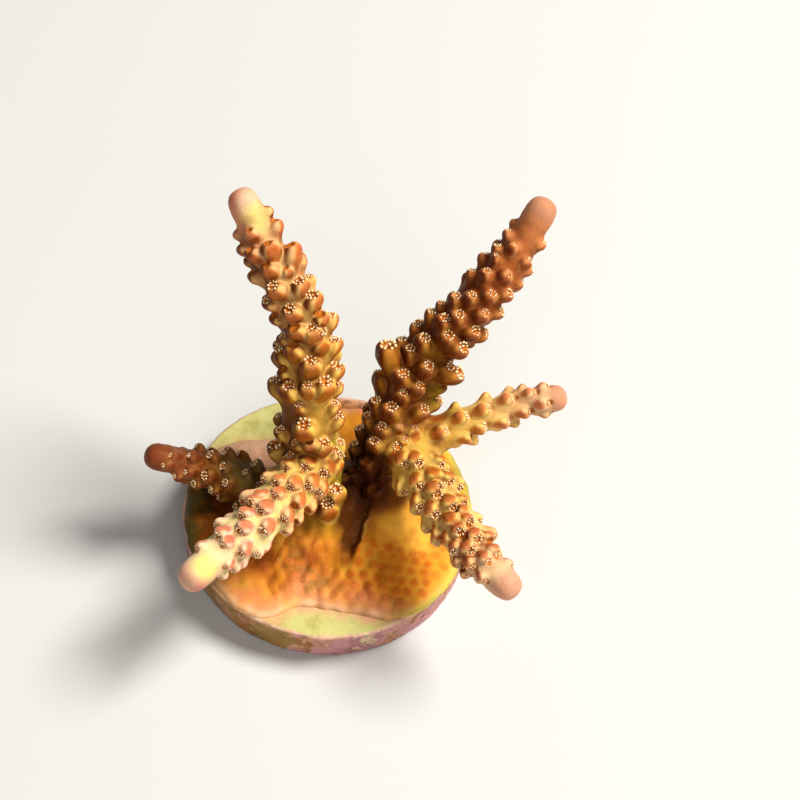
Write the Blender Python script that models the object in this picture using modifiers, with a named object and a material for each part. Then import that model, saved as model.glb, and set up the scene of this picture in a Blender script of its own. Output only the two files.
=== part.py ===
"""Staghorn coral fragment, grown over a round ceramic frag disc.

The disc lies flat on the surface. The coral has crept over most of its top as an
encrusting plate, which leaves a bare crescent of ceramic at the front and another at the
back left. Two stems and one low side branch rise from the plate. The left stem forks into
the back left and front left branches, and the right stem into the back right, right and
front right branches. Radial cups (corallites) stand all round every stem and branch,
tilted towards its tip, and each branch ends in one smooth axial cup.

Frame: metres, +Z up, the origin at the centre of the disc's underside, -Y to the front.
The design numbers below are in millimetres.
"""

import math

import bmesh
import bpy
from mathutils import Matrix, Vector

MM = 0.001

# ---------------------------------------------------------------- driving dimensions, mm
DISC_RADIUS = 12.4
DISC_UNDERSIDE_RADIUS = 11.9
DISC_THICKNESS = 4.0
DISC_EDGE = 0.35  # rounding of the rim
GAP = 0.3  # between two nodes that touch

PLATE_BASE = DISC_THICKNESS + GAP
PLATE_MARGIN = 0.75  # thickness of the plate near its edge
ROOT_LEVEL = 6.9  # the stems part from the plate here

CUP_LENGTH = 1.15  # how far a radial cup reaches from the surface of its branch
CUP_FOOT = 0.78  # radius of a cup where it leaves the branch
CUP_LIP = 0.56  # radius of its rim
CUP_TILT = math.radians(38)  # from straight out, towards the branch's tip
CUP_STEP = 0.40  # length of branch for each cup
GOLDEN_ANGLE = math.radians(137.508)

VOXEL = 0.26  # grain of the fused surfaces

# Centre lines: x, y, z and the radius of the core without its cups, from root to tip.
LINES = {
    "back_left": [
        (-0.3, -1.1, 5.0, 2.6),
        (-1.6, 0.2, 10.0, 2.15),
        (-2.4, 1.6, 15.5, 2.0),
        (-2.7, 3.3, 20.0, 1.95),
        (-3.5, 5.1, 23.8, 1.7),
        (-5.8, 6.2, 28.2, 1.4),
        (-7.6, 7.6, 30.7, 1.15),
        (-8.7, 8.7, 32.4, 1.05),
    ],
    "back_right": [
        (3.8, 1.3, 5.5, 2.6),
        (4.3, 2.9, 10.0, 2.2),
        (5.2, 5.0, 14.6, 2.0),
        (6.7, 6.9, 18.2, 1.95),
        (9.2, 8.4, 22.0, 1.7),
        (11.6, 10.2, 25.5, 1.45),
        (13.2, 12.0, 28.0, 1.2),
        (14.3, 13.4, 30.2, 1.08),
    ],
    "right": [
        (6.3, 3.2, 11.5, 1.75),
        (8.7, 3.6, 12.5, 1.5),
        (12.0, 4.8, 13.8, 1.15),
        (15.0, 5.8, 14.8, 1.0),
        (17.7, 6.1, 15.8, 1.05),
    ],
    "front_right": [
        (5.0, 3.4, 10.8, 2.0),
        (7.2, 0.4, 11.4, 1.9),
        (9.4, -3.3, 12.0, 1.75),
        (12.1, -7.4, 12.7, 1.5),
        (14.0, -9.9, 13.2, 1.3),
        (14.9, -10.8, 13.4, 1.27),
    ],
    "front_left": [
        (-1.1, 1.6, 10.8, 2.0),
        (-2.1, -1.3, 11.2, 1.9),
        (-4.4, -5.8, 12.0, 1.75),
        (-6.7, -9.3, 12.5, 1.55),
        (-8.4, -11.8, 12.9, 1.3),
        (-9.3, -13.3, 13.2, 1.3),
    ],
    "left": [
        (-3.4, -0.6, 5.5, 2.0),
        (-6.3, -0.6, 7.2, 1.75),
        (-9.4, -0.7, 9.0, 1.3),
        (-12.5, -1.2, 10.7, 1.1),
        (-14.2, -1.6, 11.6, 1.02),
    ],
}

# Where each branch parts from its stem: millimetres along its centre line.
FORK = {
    "back_left": 9.2,
    "back_right": 9.9,
    "right": 2.9,
    "front_right": 4.9,
    "front_left": 5.0,
    "left": 4.3,
}

# Outline of the plate: azimuth in degrees from +X, and radius.
PLATE_OUTLINE = [
    (-42, 12.45),
    (-52, 11.7),
    (-64, 10.6),
    (-78, 9.6),
    (-92, 9.2),
    (-104, 9.9),
    (-113, 11.6),
    (-122, 12.5),
    (-150, 12.6),
    (180, 12.6),
    (165, 12.3),
    (152, 11.4),
    (141, 10.1),
    (128, 9.0),
    (112, 9.6),
    (96, 10.9),
    (84, 11.4),
    (66, 12.3),
    (40, 12.6),
    (0, 12.6),
    (-22, 12.6),
]

# Colour and triangles kept of each fused node.
SKIN = {
    "encrusting_plate": ((0.60, 0.26, 0.05), 1700),
    "left_stem": ((0.52, 0.30, 0.07), 900),
    "right_stem": ((0.42, 0.18, 0.05), 950),
    "back_left_branch": ((0.66, 0.36, 0.12), 1350),
    "back_right_branch": ((0.55, 0.27, 0.09), 1350),
    "right_branch": ((0.64, 0.36, 0.14), 640),
    "front_right_branch": ((0.60, 0.28, 0.13), 840),
    "front_left_branch": ((0.72, 0.45, 0.24), 840),
    "left_branch": ((0.50, 0.22, 0.10), 460),
}


# ---------------------------------------------------------------- centre lines
def smooth(points, closed=False, steps=8):
    """Catmull-Rom curve through the points; further coordinates, such as radii, ride along."""
    pts = [list(p) for p in points]
    if closed:
        pts = [pts[-1]] + pts + pts[:2]
    else:
        first = [2 * a - b for a, b in zip(pts[0], pts[1])]
        last = [2 * a - b for a, b in zip(pts[-1], pts[-2])]
        first[3:], last[3:] = pts[0][3:], pts[-1][3:]
        pts = [first] + pts + [last]
    out = []
    for i in range(1, len(pts) - 2):
        for k in range(steps):
            t = k / steps
            out.append(
                [
                    0.5
                    * (
                        2 * b
                        + (c - a) * t
                        + (2 * a - 5 * b + 4 * c - d) * t * t
                        + (3 * b - a - 3 * c + d) * t**3
                    )
                    for a, b, c, d in zip(*pts[i - 1 : i + 3])
                ]
            )
    if not closed:
        out.append(pts[-2])
    return out


class Line:
    """A centre line sampled at even steps, with its tangent, radius and two side directions."""

    def __init__(self, points, step=0.25):
        dense = smooth(points, steps=24)
        at = [0.0]
        for a, b in zip(dense, dense[1:]):
            at.append(at[-1] + (Vector(b[:3]) - Vector(a[:3])).length)
        self.length, self.step = at[-1], step
        n = max(2, round(self.length / step))
        self.points, self.radii, j = [], [], 0
        for i in range(n + 1):
            s = self.length * i / n
            while j < len(at) - 2 and at[j + 1] < s:
                j += 1
            t = (s - at[j]) / max(at[j + 1] - at[j], 1e-9)
            q = [u + (v - u) * t for u, v in zip(dense[j], dense[j + 1])]
            self.points.append(Vector(q[:3]))
            self.radii.append(q[3])
        self.tangents = []
        for i in range(n + 1):
            a, b = self.points[max(i - 1, 0)], self.points[min(i + 1, n)]
            self.tangents.append((b - a).normalized())
        side = self.tangents[0].orthogonal().normalized()
        self.sides = []
        for t in self.tangents:
            side = (side - t * side.dot(t)).normalized()
            self.sides.append(side)

    def at(self, s):
        i = min(max(round(s / self.length * (len(self.points) - 1)), 0), len(self.points) - 1)
        return self.points[i], self.tangents[i], self.sides[i], self.radii[i]


LINE = {name: Line(points) for name, points in LINES.items()}


# ---------------------------------------------------------------- modelling tools
def fresh_collection(name):
    made = bpy.data.collections.new(name)
    bpy.context.scene.collection.children.link(made)
    return made


def material(name, colour, roughness):
    made = bpy.data.materials.new(name)
    made.use_nodes = True
    shader = made.node_tree.nodes["Principled BSDF"]
    shader.inputs["Base Color"].default_value = (*colour, 1.0)
    shader.inputs["Roughness"].default_value = roughness
    shader.inputs["Metallic"].default_value = 0.0
    made.diffuse_color = (*colour, 1.0)
    return made


def tube(line, start, end, round_end):
    """Mesh of a tapering tube along part of a centre line, made from a bevelled poly curve."""
    n = max(2, round((end - start) / 0.9))
    rows = [line.at(start + (end - start) * i / n) for i in range(n + 1)]
    course = [(p, r) for p, t, side, r in rows]
    if round_end:  # a dome over the axial cup
        p, t, side, r = rows[-1]
        for k in range(1, 6):
            a = math.radians(16.5 * k)
            course.append((p + t * r * math.sin(a), r * math.cos(a)))
    curve = bpy.data.curves.new("tube", "CURVE")
    curve.dimensions = "3D"
    curve.bevel_depth = MM
    curve.bevel_resolution = 3
    curve.use_fill_caps = True
    spline = curve.splines.new("POLY")
    spline.points.add(len(course) - 1)
    for point, (p, r) in zip(spline.points, course):
        point.co = (*(p * MM), 1.0)
        point.radius = r
    holder = bpy.data.objects.new("tube", curve)
    bpy.context.scene.collection.objects.link(holder)
    bpy.context.view_layer.update()
    graph = bpy.context.evaluated_depsgraph_get()
    mesh = bpy.data.meshes.new_from_object(holder.evaluated_get(graph))
    bpy.data.objects.remove(holder)
    bpy.data.curves.remove(curve)
    return mesh


def pour(bm, mesh):
    """Adds a mesh to bm with its caps welded on."""
    bm.from_mesh(mesh)
    bpy.data.meshes.remove(mesh)
    bmesh.ops.remove_doubles(bm, verts=bm.verts, dist=1e-6)


def cup(bm, foot, axis, length, foot_radius, lip_radius):
    """One radial cup: a blunt cone that leans along its axis."""
    turn = Vector((0, 0, 1)).rotation_difference(axis).to_matrix().to_4x4()
    depth = length + foot_radius  # its root is sunk in the branch
    middle = foot + axis * (length - depth / 2)
    bmesh.ops.create_cone(
        bm,
        cap_ends=True,
        segments=10,
        radius1=foot_radius * MM,
        radius2=lip_radius * MM,
        depth=depth * MM,
        matrix=Matrix.Translation(middle * MM) @ turn,
    )


def clear_of_others(point, name):
    """False where a cup at this point would touch another branch or its cups."""
    order = list(LINE)
    for other, line in LINE.items():
        if other == name:
            continue
        reach = 1.0 if order.index(name) < order.index(other) else 2.0
        first = FORK[other] if name in FAMILY[other] or other in FAMILY[name] else 0.0
        for i, p in enumerate(line.points):
            if i * line.step >= first and (point - p).length < line.radii[i] + reach:
                return False
    return True


FAMILY = {
    "back_left": ["front_left"],
    "front_left": ["back_left"],
    "back_right": ["right", "front_right"],
    "right": ["back_right", "front_right"],
    "front_right": ["back_right", "right"],
    "left": [],
}


def cups(bm, name, start, end, phase=0.0, lowest=6.6):
    """Radial cups in a golden spiral round one stretch of a branch, smaller near its tip."""
    line = LINE[name]
    k = 0
    s = start
    while s < end:
        p, t, side, r = line.at(s)
        a = phase + k * GOLDEN_ANGLE
        out = side * math.cos(a) + t.cross(side) * math.sin(a)
        axis = (out * math.cos(CUP_TILT) + t * math.sin(CUP_TILT)).normalized()
        young = min(1.0, 0.55 + (line.length - s) / 14.0)
        size = young * (0.92 + 0.16 * math.sin(2.4 * k) ** 2) * (0.8 + 0.2 * r / 2.0)
        tip = p + out * r * 0.9 + axis * CUP_LENGTH * size
        if tip.z > lowest and clear_of_others(tip, name):
            cup(bm, p + out * r * 0.9, axis, CUP_LENGTH * size, CUP_FOOT * size, CUP_LIP * size)
        s += CUP_STEP * (0.75 + 0.25 * 2.0 / max(r, 1.0))
        k += 1


def fused(name, bm):
    """The shapes in bm fused into one skin and thinned to the node's budget."""
    colour, budget = SKIN[name]
    mesh = bpy.data.meshes.new(name)
    bm.to_mesh(mesh)
    bm.free()
    obj = bpy.data.objects.new(name, mesh)
    coral.objects.link(obj)
    obj.data.materials.append(material(name + " tissue", colour, 0.55))
    melt = obj.modifiers.new("fuse", "REMESH")
    melt.mode = "VOXEL"
    melt.voxel_size = VOXEL * MM
    melt.adaptivity = 0.0
    melt.use_smooth_shade = True
    bpy.context.view_layer.update()
    graph = bpy.context.evaluated_depsgraph_get()
    shape = obj.evaluated_get(graph).to_mesh()
    shape.calc_loop_triangles()
    count = len(shape.loop_triangles)
    obj.evaluated_get(graph).to_mesh_clear()
    thin = obj.modifiers.new("thin", "DECIMATE")
    thin.decimate_type = "COLLAPSE"
    thin.use_collapse_triangulate = True
    thin.ratio = min(1.0, budget / count)
    return obj


def cutter(name, bm):
    mesh = bpy.data.meshes.new(name)
    bmesh.ops.recalc_face_normals(bm, faces=bm.faces)
    bm.to_mesh(mesh)
    bm.free()
    obj = bpy.data.objects.new(name, mesh)
    cutters.objects.link(obj)
    obj.hide_render = True
    obj.display_type = "WIRE"
    return obj


def cylinder_cutter(name, foot, axis, radius, length):
    """A cylinder that stands on foot and runs along axis."""
    bm = bmesh.new()
    turn = Vector((0, 0, 1)).rotation_difference(axis).to_matrix().to_4x4()
    bmesh.ops.create_cone(
        bm,
        cap_ends=True,
        segments=32,
        radius1=radius * MM,
        radius2=radius * MM,
        depth=length * MM,
        matrix=Matrix.Translation((foot + axis * length / 2) * MM) @ turn,
    )
    return cutter(name, bm)


def box_cutter(name, low, high):
    bm = bmesh.new()
    low, high = Vector(low), Vector(high)
    size = high - low
    bmesh.ops.create_cube(
        bm,
        size=1.0,
        matrix=Matrix.Translation((low + high) / 2 * MM)
        @ Matrix.Diagonal((size.x * MM, size.y * MM, size.z * MM, 1.0)),
    )
    return cutter(name, bm)


def cut(obj, tool):
    mod = obj.modifiers.new("cut " + tool.name, "BOOLEAN")
    mod.operation = "DIFFERENCE"
    mod.object = tool
    return mod


# ---------------------------------------------------------------- clear the scene
for old in list(bpy.data.objects):
    bpy.data.objects.remove(old)
coral = fresh_collection("staghorn_coral_fragment")
cutters = fresh_collection("cutters")

ceramic = material("ceramic", (0.80, 0.74, 0.58), 0.8)

# ---------------------------------------------------------------- ceramic disc
bm = bmesh.new()
bmesh.ops.create_cone(
    bm,
    cap_ends=True,
    segments=64,
    radius1=DISC_UNDERSIDE_RADIUS * MM,
    radius2=DISC_RADIUS * MM,
    depth=DISC_THICKNESS * MM,
    matrix=Matrix.Translation((0, 0, DISC_THICKNESS / 2 * MM)),
)
mesh = bpy.data.meshes.new("frag_disc")
bm.to_mesh(mesh)
bm.free()
mesh.shade_smooth()
mesh.set_sharp_from_angle(angle=math.radians(35))
disc = bpy.data.objects.new("frag_disc", mesh)
coral.objects.link(disc)
disc.data.materials.append(ceramic)
rim = disc.modifiers.new("rim", "BEVEL")
rim.width = DISC_EDGE * MM
rim.segments = 2
rim.limit_method = "ANGLE"
rim.angle_limit = math.radians(40)

# ---------------------------------------------------------------- cutters at the forks
# Each branch starts in a flat face at its fork, GAP clear of the face on its stem.
gate, start_box = {}, {}
for name, s in FORK.items():
    p, t, side, r = LINE[name].at(s)
    spread = 1.2 if name == "left" else 1.9
    gate[name] = cylinder_cutter("beyond_" + name, p, t, r + spread, 14.0)
    start_box[name] = cylinder_cutter(
        "before_" + name, p + t * GAP, -t, r + 9.0, 16.0
    )
above_roots = box_cutter(
    "above_roots", (-4.5, -8.0, ROOT_LEVEL - GAP), (12.0, 9.0, 30.0)
)
below_roots = box_cutter("below_roots", (-9.0, -9.0, -1.0), (14.0, 12.0, ROOT_LEVEL))

# ---------------------------------------------------------------- encrusting plate
outline = smooth(
    [
        (r * math.cos(math.radians(a)), r * math.sin(math.radians(a)), 0.0)
        for a, r in PLATE_OUTLINE
    ],
    closed=True,
    steps=4,
)
flat = bpy.data.curves.new("outline", "CURVE")
flat.dimensions = "2D"
flat.fill_mode = "BOTH"
flat.extrude = (PLATE_MARGIN / 2) * MM
spline = flat.splines.new("POLY")
spline.points.add(len(outline) - 1)
spline.use_cyclic_u = True
for point, (x, y, z) in zip(spline.points, outline):
    point.co = (x * MM, y * MM, 0.0, 1.0)
holder = bpy.data.objects.new("outline", flat)
bpy.context.scene.collection.objects.link(holder)
holder.location = (0, 0, (PLATE_BASE + PLATE_MARGIN / 2) * MM)
bpy.context.view_layer.update()
sheet = bpy.data.meshes.new_from_object(
    holder.evaluated_get(bpy.context.evaluated_depsgraph_get())
)
sheet.transform(holder.matrix_world)
bpy.data.objects.remove(holder)
bpy.data.curves.remove(flat)

bm = bmesh.new()
pour(bm, sheet)
# The mound that the stems stand on: flattened domes, widest at the bottom.
for x, y, width, depth, height in (
    (0.8, 0.4, 9.6, 8.0, 1.75),
    (2.0, 0.3, 6.6, 5.2, 2.6),
    (-0.6, -0.6, 3.9, 3.9, 3.6),
    (3.9, 1.6, 3.9, 3.7, 3.6),
    (-4.2, -0.6, 3.6, 3.0, 2.7),
):
    bmesh.ops.create_uvsphere(
        bm,
        u_segments=32,
        v_segments=16,
        radius=1.0,
        matrix=Matrix.Translation((x * MM, y * MM, (PLATE_BASE + 0.2) * MM))
        @ Matrix.Diagonal((width * MM, depth * MM, height * MM, 1.0)),
    )
for name, end in (("back_left", 3.6), ("back_right", 3.6), ("left", FORK["left"] + 1.0)):
    pour(bm, tube(LINE[name], 0.0, end, False))
cups(bm, "left", 2.6, FORK["left"] + 0.5, phase=1.9, lowest=6.2)
plate = fused("encrusting_plate", bm)
underside = box_cutter("under_plate", (-16, -16, -6), (16, 16, PLATE_BASE))
cut(plate, underside)
cut(plate, above_roots)
cut(plate, gate["left"])

# ---------------------------------------------------------------- stems
for name, main, sides in (
    ("left_stem", "back_left", ["front_left"]),
    ("right_stem", "back_right", ["right", "front_right"]),
):
    bm = bmesh.new()
    pour(bm, tube(LINE[main], 1.0, FORK[main] + 1.2, False))
    cups(bm, main, 2.4, FORK[main] + 0.6, phase=0.6)
    for side_name in sides:
        pour(bm, tube(LINE[side_name], 0.0, FORK[side_name] + 1.2, False))
        reach = LINE[main].at(FORK[main])[3]
        cups(bm, side_name, reach + 0.7, FORK[side_name] + 0.6, phase=1.1)
    stem = fused(name, bm)
    cut(stem, below_roots)
    cut(stem, gate[main])
    for side_name in sides:
        cut(stem, gate[side_name])

# ---------------------------------------------------------------- branches
for name, line in LINE.items():
    bm = bmesh.new()
    pour(bm, tube(line, FORK[name] - 1.0, line.length, True))
    cups(bm, name, FORK[name] - 0.4, line.length - 2.1, phase=0.3)
    branch = fused(name + "_branch", bm)
    cut(branch, start_box[name])
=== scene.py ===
"""Looks of a staghorn coral fragment that has grown over a round ceramic frag disc.

The coral is modelled as one living skin: rounded cores along the branches' centre lines,
radial cups (corallites) that lean towards each tip, and the encrusting plate, all fused in
one distance field that is meshed finely and then parted at the main forks. Tentacle crowns
stand in the cups' mouths. The disc is turned, with a crust round its rim.

Lengths in the design numbers are millimetres; every object is made in metres.
"""

import math

import bpy
import numpy as np
from mathutils import Matrix, Vector


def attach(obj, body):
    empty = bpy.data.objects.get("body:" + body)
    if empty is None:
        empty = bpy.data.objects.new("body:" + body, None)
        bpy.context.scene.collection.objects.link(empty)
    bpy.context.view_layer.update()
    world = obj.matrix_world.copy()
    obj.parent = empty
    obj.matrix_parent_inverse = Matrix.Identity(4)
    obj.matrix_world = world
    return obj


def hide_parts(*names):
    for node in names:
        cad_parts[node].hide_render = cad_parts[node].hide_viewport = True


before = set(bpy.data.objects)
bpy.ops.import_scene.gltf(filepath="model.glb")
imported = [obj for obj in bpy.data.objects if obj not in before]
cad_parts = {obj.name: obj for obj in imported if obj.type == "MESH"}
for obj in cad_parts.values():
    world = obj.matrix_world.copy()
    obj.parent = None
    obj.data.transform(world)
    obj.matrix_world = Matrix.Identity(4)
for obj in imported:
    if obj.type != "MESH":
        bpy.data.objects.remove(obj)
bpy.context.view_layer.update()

MM = 0.001
DISC_TOP = 4.0
DISC_RADIUS = 12.4
UNDER_RADIUS = 11.9
ROOT_LEVEL = 6.9
GRAIN = 0.12  # spacing of the distance field

# Centre lines: x, y, z and the core's radius, from root to tip, as in the solid model.
LINES = {
    "back_left": [
        (-0.3, -1.1, 5.0, 2.6),
        (-1.6, 0.2, 10.0, 2.15),
        (-2.4, 1.6, 15.5, 2.0),
        (-2.7, 3.3, 20.0, 1.95),
        (-3.5, 5.1, 23.8, 1.7),
        (-5.8, 6.2, 28.2, 1.4),
        (-7.6, 7.6, 30.7, 1.15),
        (-8.7, 8.7, 32.4, 1.05),
    ],
    "back_right": [
        (3.8, 1.3, 5.5, 2.6),
        (4.3, 2.9, 10.0, 2.2),
        (5.2, 5.0, 14.6, 2.0),
        (6.7, 6.9, 18.2, 1.95),
        (9.2, 8.4, 22.0, 1.7),
        (11.6, 10.2, 25.5, 1.45),
        (13.2, 12.0, 28.0, 1.2),
        (14.3, 13.4, 30.2, 1.08),
    ],
    "right": [
        (6.3, 3.2, 11.5, 1.75),
        (8.7, 3.6, 12.5, 1.5),
        (12.0, 4.8, 13.8, 1.15),
        (15.0, 5.8, 14.8, 1.0),
        (17.7, 6.1, 15.8, 1.05),
    ],
    "front_right": [
        (5.0, 3.4, 10.8, 2.0),
        (7.2, 0.4, 11.4, 1.9),
        (9.4, -3.3, 12.0, 1.75),
        (12.1, -7.4, 12.7, 1.5),
        (14.0, -9.9, 13.2, 1.3),
        (14.9, -10.8, 13.4, 1.27),
    ],
    "front_left": [
        (-1.1, 1.6, 10.8, 2.0),
        (-2.1, -1.3, 11.2, 1.9),
        (-4.4, -5.8, 12.0, 1.75),
        (-6.7, -9.3, 12.5, 1.55),
        (-8.4, -11.8, 12.9, 1.3),
        (-9.3, -13.3, 13.2, 1.3),
    ],
    "left": [
        (-3.4, -0.6, 5.5, 2.0),
        (-6.3, -0.6, 7.2, 1.75),
        (-9.4, -0.7, 9.0, 1.3),
        (-12.5, -1.2, 10.7, 1.1),
        (-14.2, -1.6, 11.6, 1.02),
    ],
}
FORK = {
    "back_left": 9.2,
    "back_right": 9.9,
    "right": 2.9,
    "front_right": 4.9,
    "front_left": 5.0,
    "left": 4.3,
}
STEM_OF = {
    "back_left": "left_stem",
    "front_left": "left_stem",
    "back_right": "right_stem",
    "right": "right_stem",
    "front_right": "right_stem",
    "left": "encrusting_plate",
}

# Outline of the plate: azimuth in degrees from +X, and radius.
PLATE_OUTLINE = [
    (-180, 12.35),
    (-150, 12.3),
    (-126, 12.45),
    (-116, 12.4),
    (-110, 12.2),
    (-106, 11.6),
    (-102, 10.7),
    (-98, 10.0),
    (-92, 9.75),
    (-87, 9.8),
    (-76, 10.1),
    (-67, 10.8),
    (-60, 11.8),
    (-56, 12.2),
    (-49, 12.45),
    (-40, 12.55),
    (-20, 12.6),
    (0, 12.62),
    (30, 12.6),
    (60, 12.3),
    (74, 11.6),
    (84, 11.2),
    (96, 10.9),
    (112, 9.6),
    (126, 8.6),
    (135, 9.4),
    (144, 10.6),
    (151, 11.5),
    (160, 12.2),
]

# Cups on the side that faces the camera, each by where its mouth shows in the 800 x 800
# view, and its size. Each is set on the branch it grows from, so it holds from any side.
CUPS = {
    "back_left": [
        (325, 383, 1.4), (308, 386, 1.0), (289, 387, 1.3), (274, 381, 1.3),
        (299, 406, 0.75), (305, 425, 1.45), (276, 446, 1.45), (281, 430, 1.0),
        (339, 385, 0.95), (334, 404, 0.95), (337, 416, 1.2), (344, 443, 1.0),
        (335, 451, 0.95), (336, 463, 0.95), (309, 441, 0.95), (291, 456, 0.85),
        (323, 443, 1.15), (296, 443, 0.75),
        (336, 490, 1.35), (327, 505, 1.3), (316, 493, 0.9),
        (274, 286, 1.15), (299, 282, 1.15), (268, 301, 1.0), (311, 296, 1.25),
        (291, 309, 1.15), (320, 315, 1.05), (330, 316, 1.15), (275, 316, 0.95),
        (295, 328, 1.1), (312, 329, 1.2), (320, 341, 1.05), (334, 341, 1.2),
        (294, 347, 1.15), (283, 337, 0.9), (279, 343, 0.9), (281, 353, 1.0),
        (312, 362, 1.25), (336, 367, 1.25), (284, 371, 0.9),
        (274, 223, 1.0), (268, 209, 0.75), (269, 245, 1.15), (289, 247, 1.35),
        (252, 251, 0.95), (242, 246, 0.9), (250, 231, 0.75), (301, 255, 1.05),
        (267, 266, 0.95), (249, 275, 0.95), (286, 270, 0.6),
    ],
    "back_right": [
        (388, 347, 1.75, 0.45), (403, 341, 1.05), (374, 372, 1.2), (382, 376, 1.2),
        (403, 375, 1.25), (376, 401, 1.1), (391, 407, 1.3), (403, 394, 0.95),
        (397, 389, 0.7), (420, 386, 1.0), (410, 350, 1.05), (425, 340, 1.2),
        (428, 367, 1.1), (448, 367, 1.1), (457, 373, 1.45, 0.40), (462, 348, 1.3, 0.30),
        (448, 336, 1.1), (445, 320, 1.15), (432, 313, 1.0), (417, 326, 0.95),
        (442, 304, 0.8), (459, 315, 1.1), (456, 297, 0.95), (474, 331, 1.15),
        (471, 296, 0.9), (484, 313, 1.0), (500, 312, 1.0), (491, 295, 0.9),
        (508, 294, 0.95), (487, 272, 0.8), (472, 272, 0.75), (497, 247, 0.75),
        (508, 233, 0.7), (497, 257, 0.6), (514, 246, 0.62), (508, 276, 0.8),
        (528, 261, 0.7), (531, 270, 0.8), (542, 244, 0.7), (521, 283, 0.7),
        (383, 427, 1.0), (375, 442, 1.1), (403, 440, 0.65), (368, 416, 0.9),
        (366, 462, 1.05), (356, 444, 0.9), (352, 471, 0.9), (385, 474, 0.9),
        (372, 489, 0.95), (414, 429, 0.7), (425, 435, 1.45), (423, 409, 1.15),
        (440, 402, 1.3), (396, 449, 1.0), (399, 427, 0.55),
    ],
    "right": [
        (465, 416, 0.9), (487, 408, 0.9), (489, 395, 0.85), (510, 398, 0.85),
        (533, 393, 0.7), (546, 403, 0.72), (525, 388, 0.7), (545, 387, 0.6),
        (470, 437, 0.8), (484, 427, 0.85), (507, 421, 0.85), (528, 412, 0.75),
        (445, 430, 0.95), (457, 403, 0.75), (547, 413, 0.6),
    ],
    "front_right": [
        (405, 463, 1.0), (419, 463, 1.0), (436, 479, 1.05), (450, 482, 1.0),
        (419, 486, 1.0), (438, 493, 1.1), (396, 490, 0.8), (404, 492, 0.95),
        (420, 506, 1.0), (436, 514, 1.05), (452, 507, 1.05), (464, 503, 0.8),
        (464, 514, 0.85), (454, 524, 1.05), (469, 524, 0.9), (428, 530, 0.85),
        (440, 537, 0.9), (462, 535, 1.05), (477, 539, 1.0), (489, 541, 0.9),
        (450, 543, 0.9), (459, 551, 0.95), (471, 551, 1.0), (495, 554, 0.9),
        (487, 561, 0.75), (473, 566, 0.85), (461, 564, 0.85), (468, 575, 0.85),
        (511, 564, 0.6), (484, 579, 0.65), (441, 464, 0.8),
    ],
    "front_left": [
        (286, 468, 0.85), (305, 467, 1.0), (324, 472, 1.05), (276, 484, 0.9),
        (291, 488, 0.95), (309, 487, 1.0), (318, 492, 1.0), (258, 498, 0.85),
        (275, 495, 0.85), (250, 504, 0.85), (261, 510, 0.95), (295, 505, 1.0),
        (307, 509, 1.0), (242, 516, 0.9), (284, 519, 1.0), (240, 531, 0.9),
        (263, 530, 0.95), (219, 535, 0.85), (286, 533, 0.9), (301, 527, 0.85),
        (224, 544, 0.75), (241, 553, 0.9), (256, 554, 0.85), (268, 555, 0.8),
        (199, 549, 0.65), (226, 566, 0.6), (234, 571, 0.75),
    ],
    "left": [
        (165, 465, 0.65), (190, 456, 0.8), (187, 472, 0.8), (176, 476, 0.75),
        (195, 484, 0.85), (205, 476, 0.95), (224, 466, 0.85), (226, 482, 0.9),
        (246, 472, 0.7), (172, 456, 0.7), (212, 490, 0.8),
    ],
}

rng = np.random.default_rng(1759)


# ---------------------------------------------------------------- centre lines
def unit(v):
    return v / np.maximum(np.linalg.norm(v, axis=-1, keepdims=True), 1e-12)


class Line:
    """A branch's centre line at even steps, with tangents, radii and two side directions."""

    def __init__(self, points, swell, step=0.2):
        p = np.array(points, float)
        first, last = 2 * p[0] - p[1], 2 * p[-1] - p[-2]
        first[3], last[3] = p[0][3], p[-1][3]
        p = np.vstack([first, p, last])
        dense = []
        for i in range(1, len(p) - 2):
            a, b, c, d = p[i - 1 : i + 3]
            t = (np.arange(24) / 24)[:, None]
            dense.append(
                0.5 * (2 * b + (c - a) * t + (2 * a - 5 * b + 4 * c - d) * t**2
                       + (3 * b - a - 3 * c + d) * t**3)
            )
        dense = np.vstack([*dense, p[-2:-1]])
        at = np.concatenate([[0], np.cumsum(np.linalg.norm(np.diff(dense[:, :3], axis=0), axis=1))])
        self.length = at[-1]
        self.n = round(self.length / step)
        self.s = np.linspace(0, self.length, self.n + 1)
        q = np.stack([np.interp(self.s, at, dense[:, k]) for k in range(4)], 1)
        self.p, self.r = q[:, :3], q[:, 3] + 0.05 + swell * np.clip(1 - (self.length - self.s) / 3.0, 0, 1)
        self.t = unit(np.gradient(self.p, axis=0))
        u = np.cross(self.t[0], (0.31, 0.9, 0.3))
        side = []
        for t in self.t:
            u = unit(u - t * (u @ t))
            side.append(u)
        self.u = np.array(side)
        self.v = np.cross(self.t, self.u)

    def at(self, s):
        """Point, tangent, two sides and radius at each length along the line."""
        i = np.clip(np.asarray(s) / self.length * self.n, 0, self.n)
        lo = np.minimum(i.astype(int), self.n - 1)
        f = (i - lo)[..., None]
        mix = lambda a: a[lo] * (1 - f) + a[lo + 1] * f
        return mix(self.p), unit(mix(self.t)), unit(mix(self.u)), unit(mix(self.v)), mix(self.r[:, None])[..., 0]


# how far past the line's end a branch reaches, in radii, and how much its end is swollen
REACH = {"back_left": 1.16, "back_right": 1.18, "right": 1.12, "front_right": 1.32, "front_left": 1.16, "left": 1.24}
SWELL = {"back_left": 0.10, "back_right": 0.10, "right": -0.02, "front_right": -0.10, "front_left": -0.10, "left": 0.02}
LINE = {name: Line(points, SWELL[name]) for name, points in LINES.items()}

def smooth(a, b, x):
    t = np.clip((x - a) / (b - a), 0, 1)
    return t * t * (3 - 2 * t)


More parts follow.
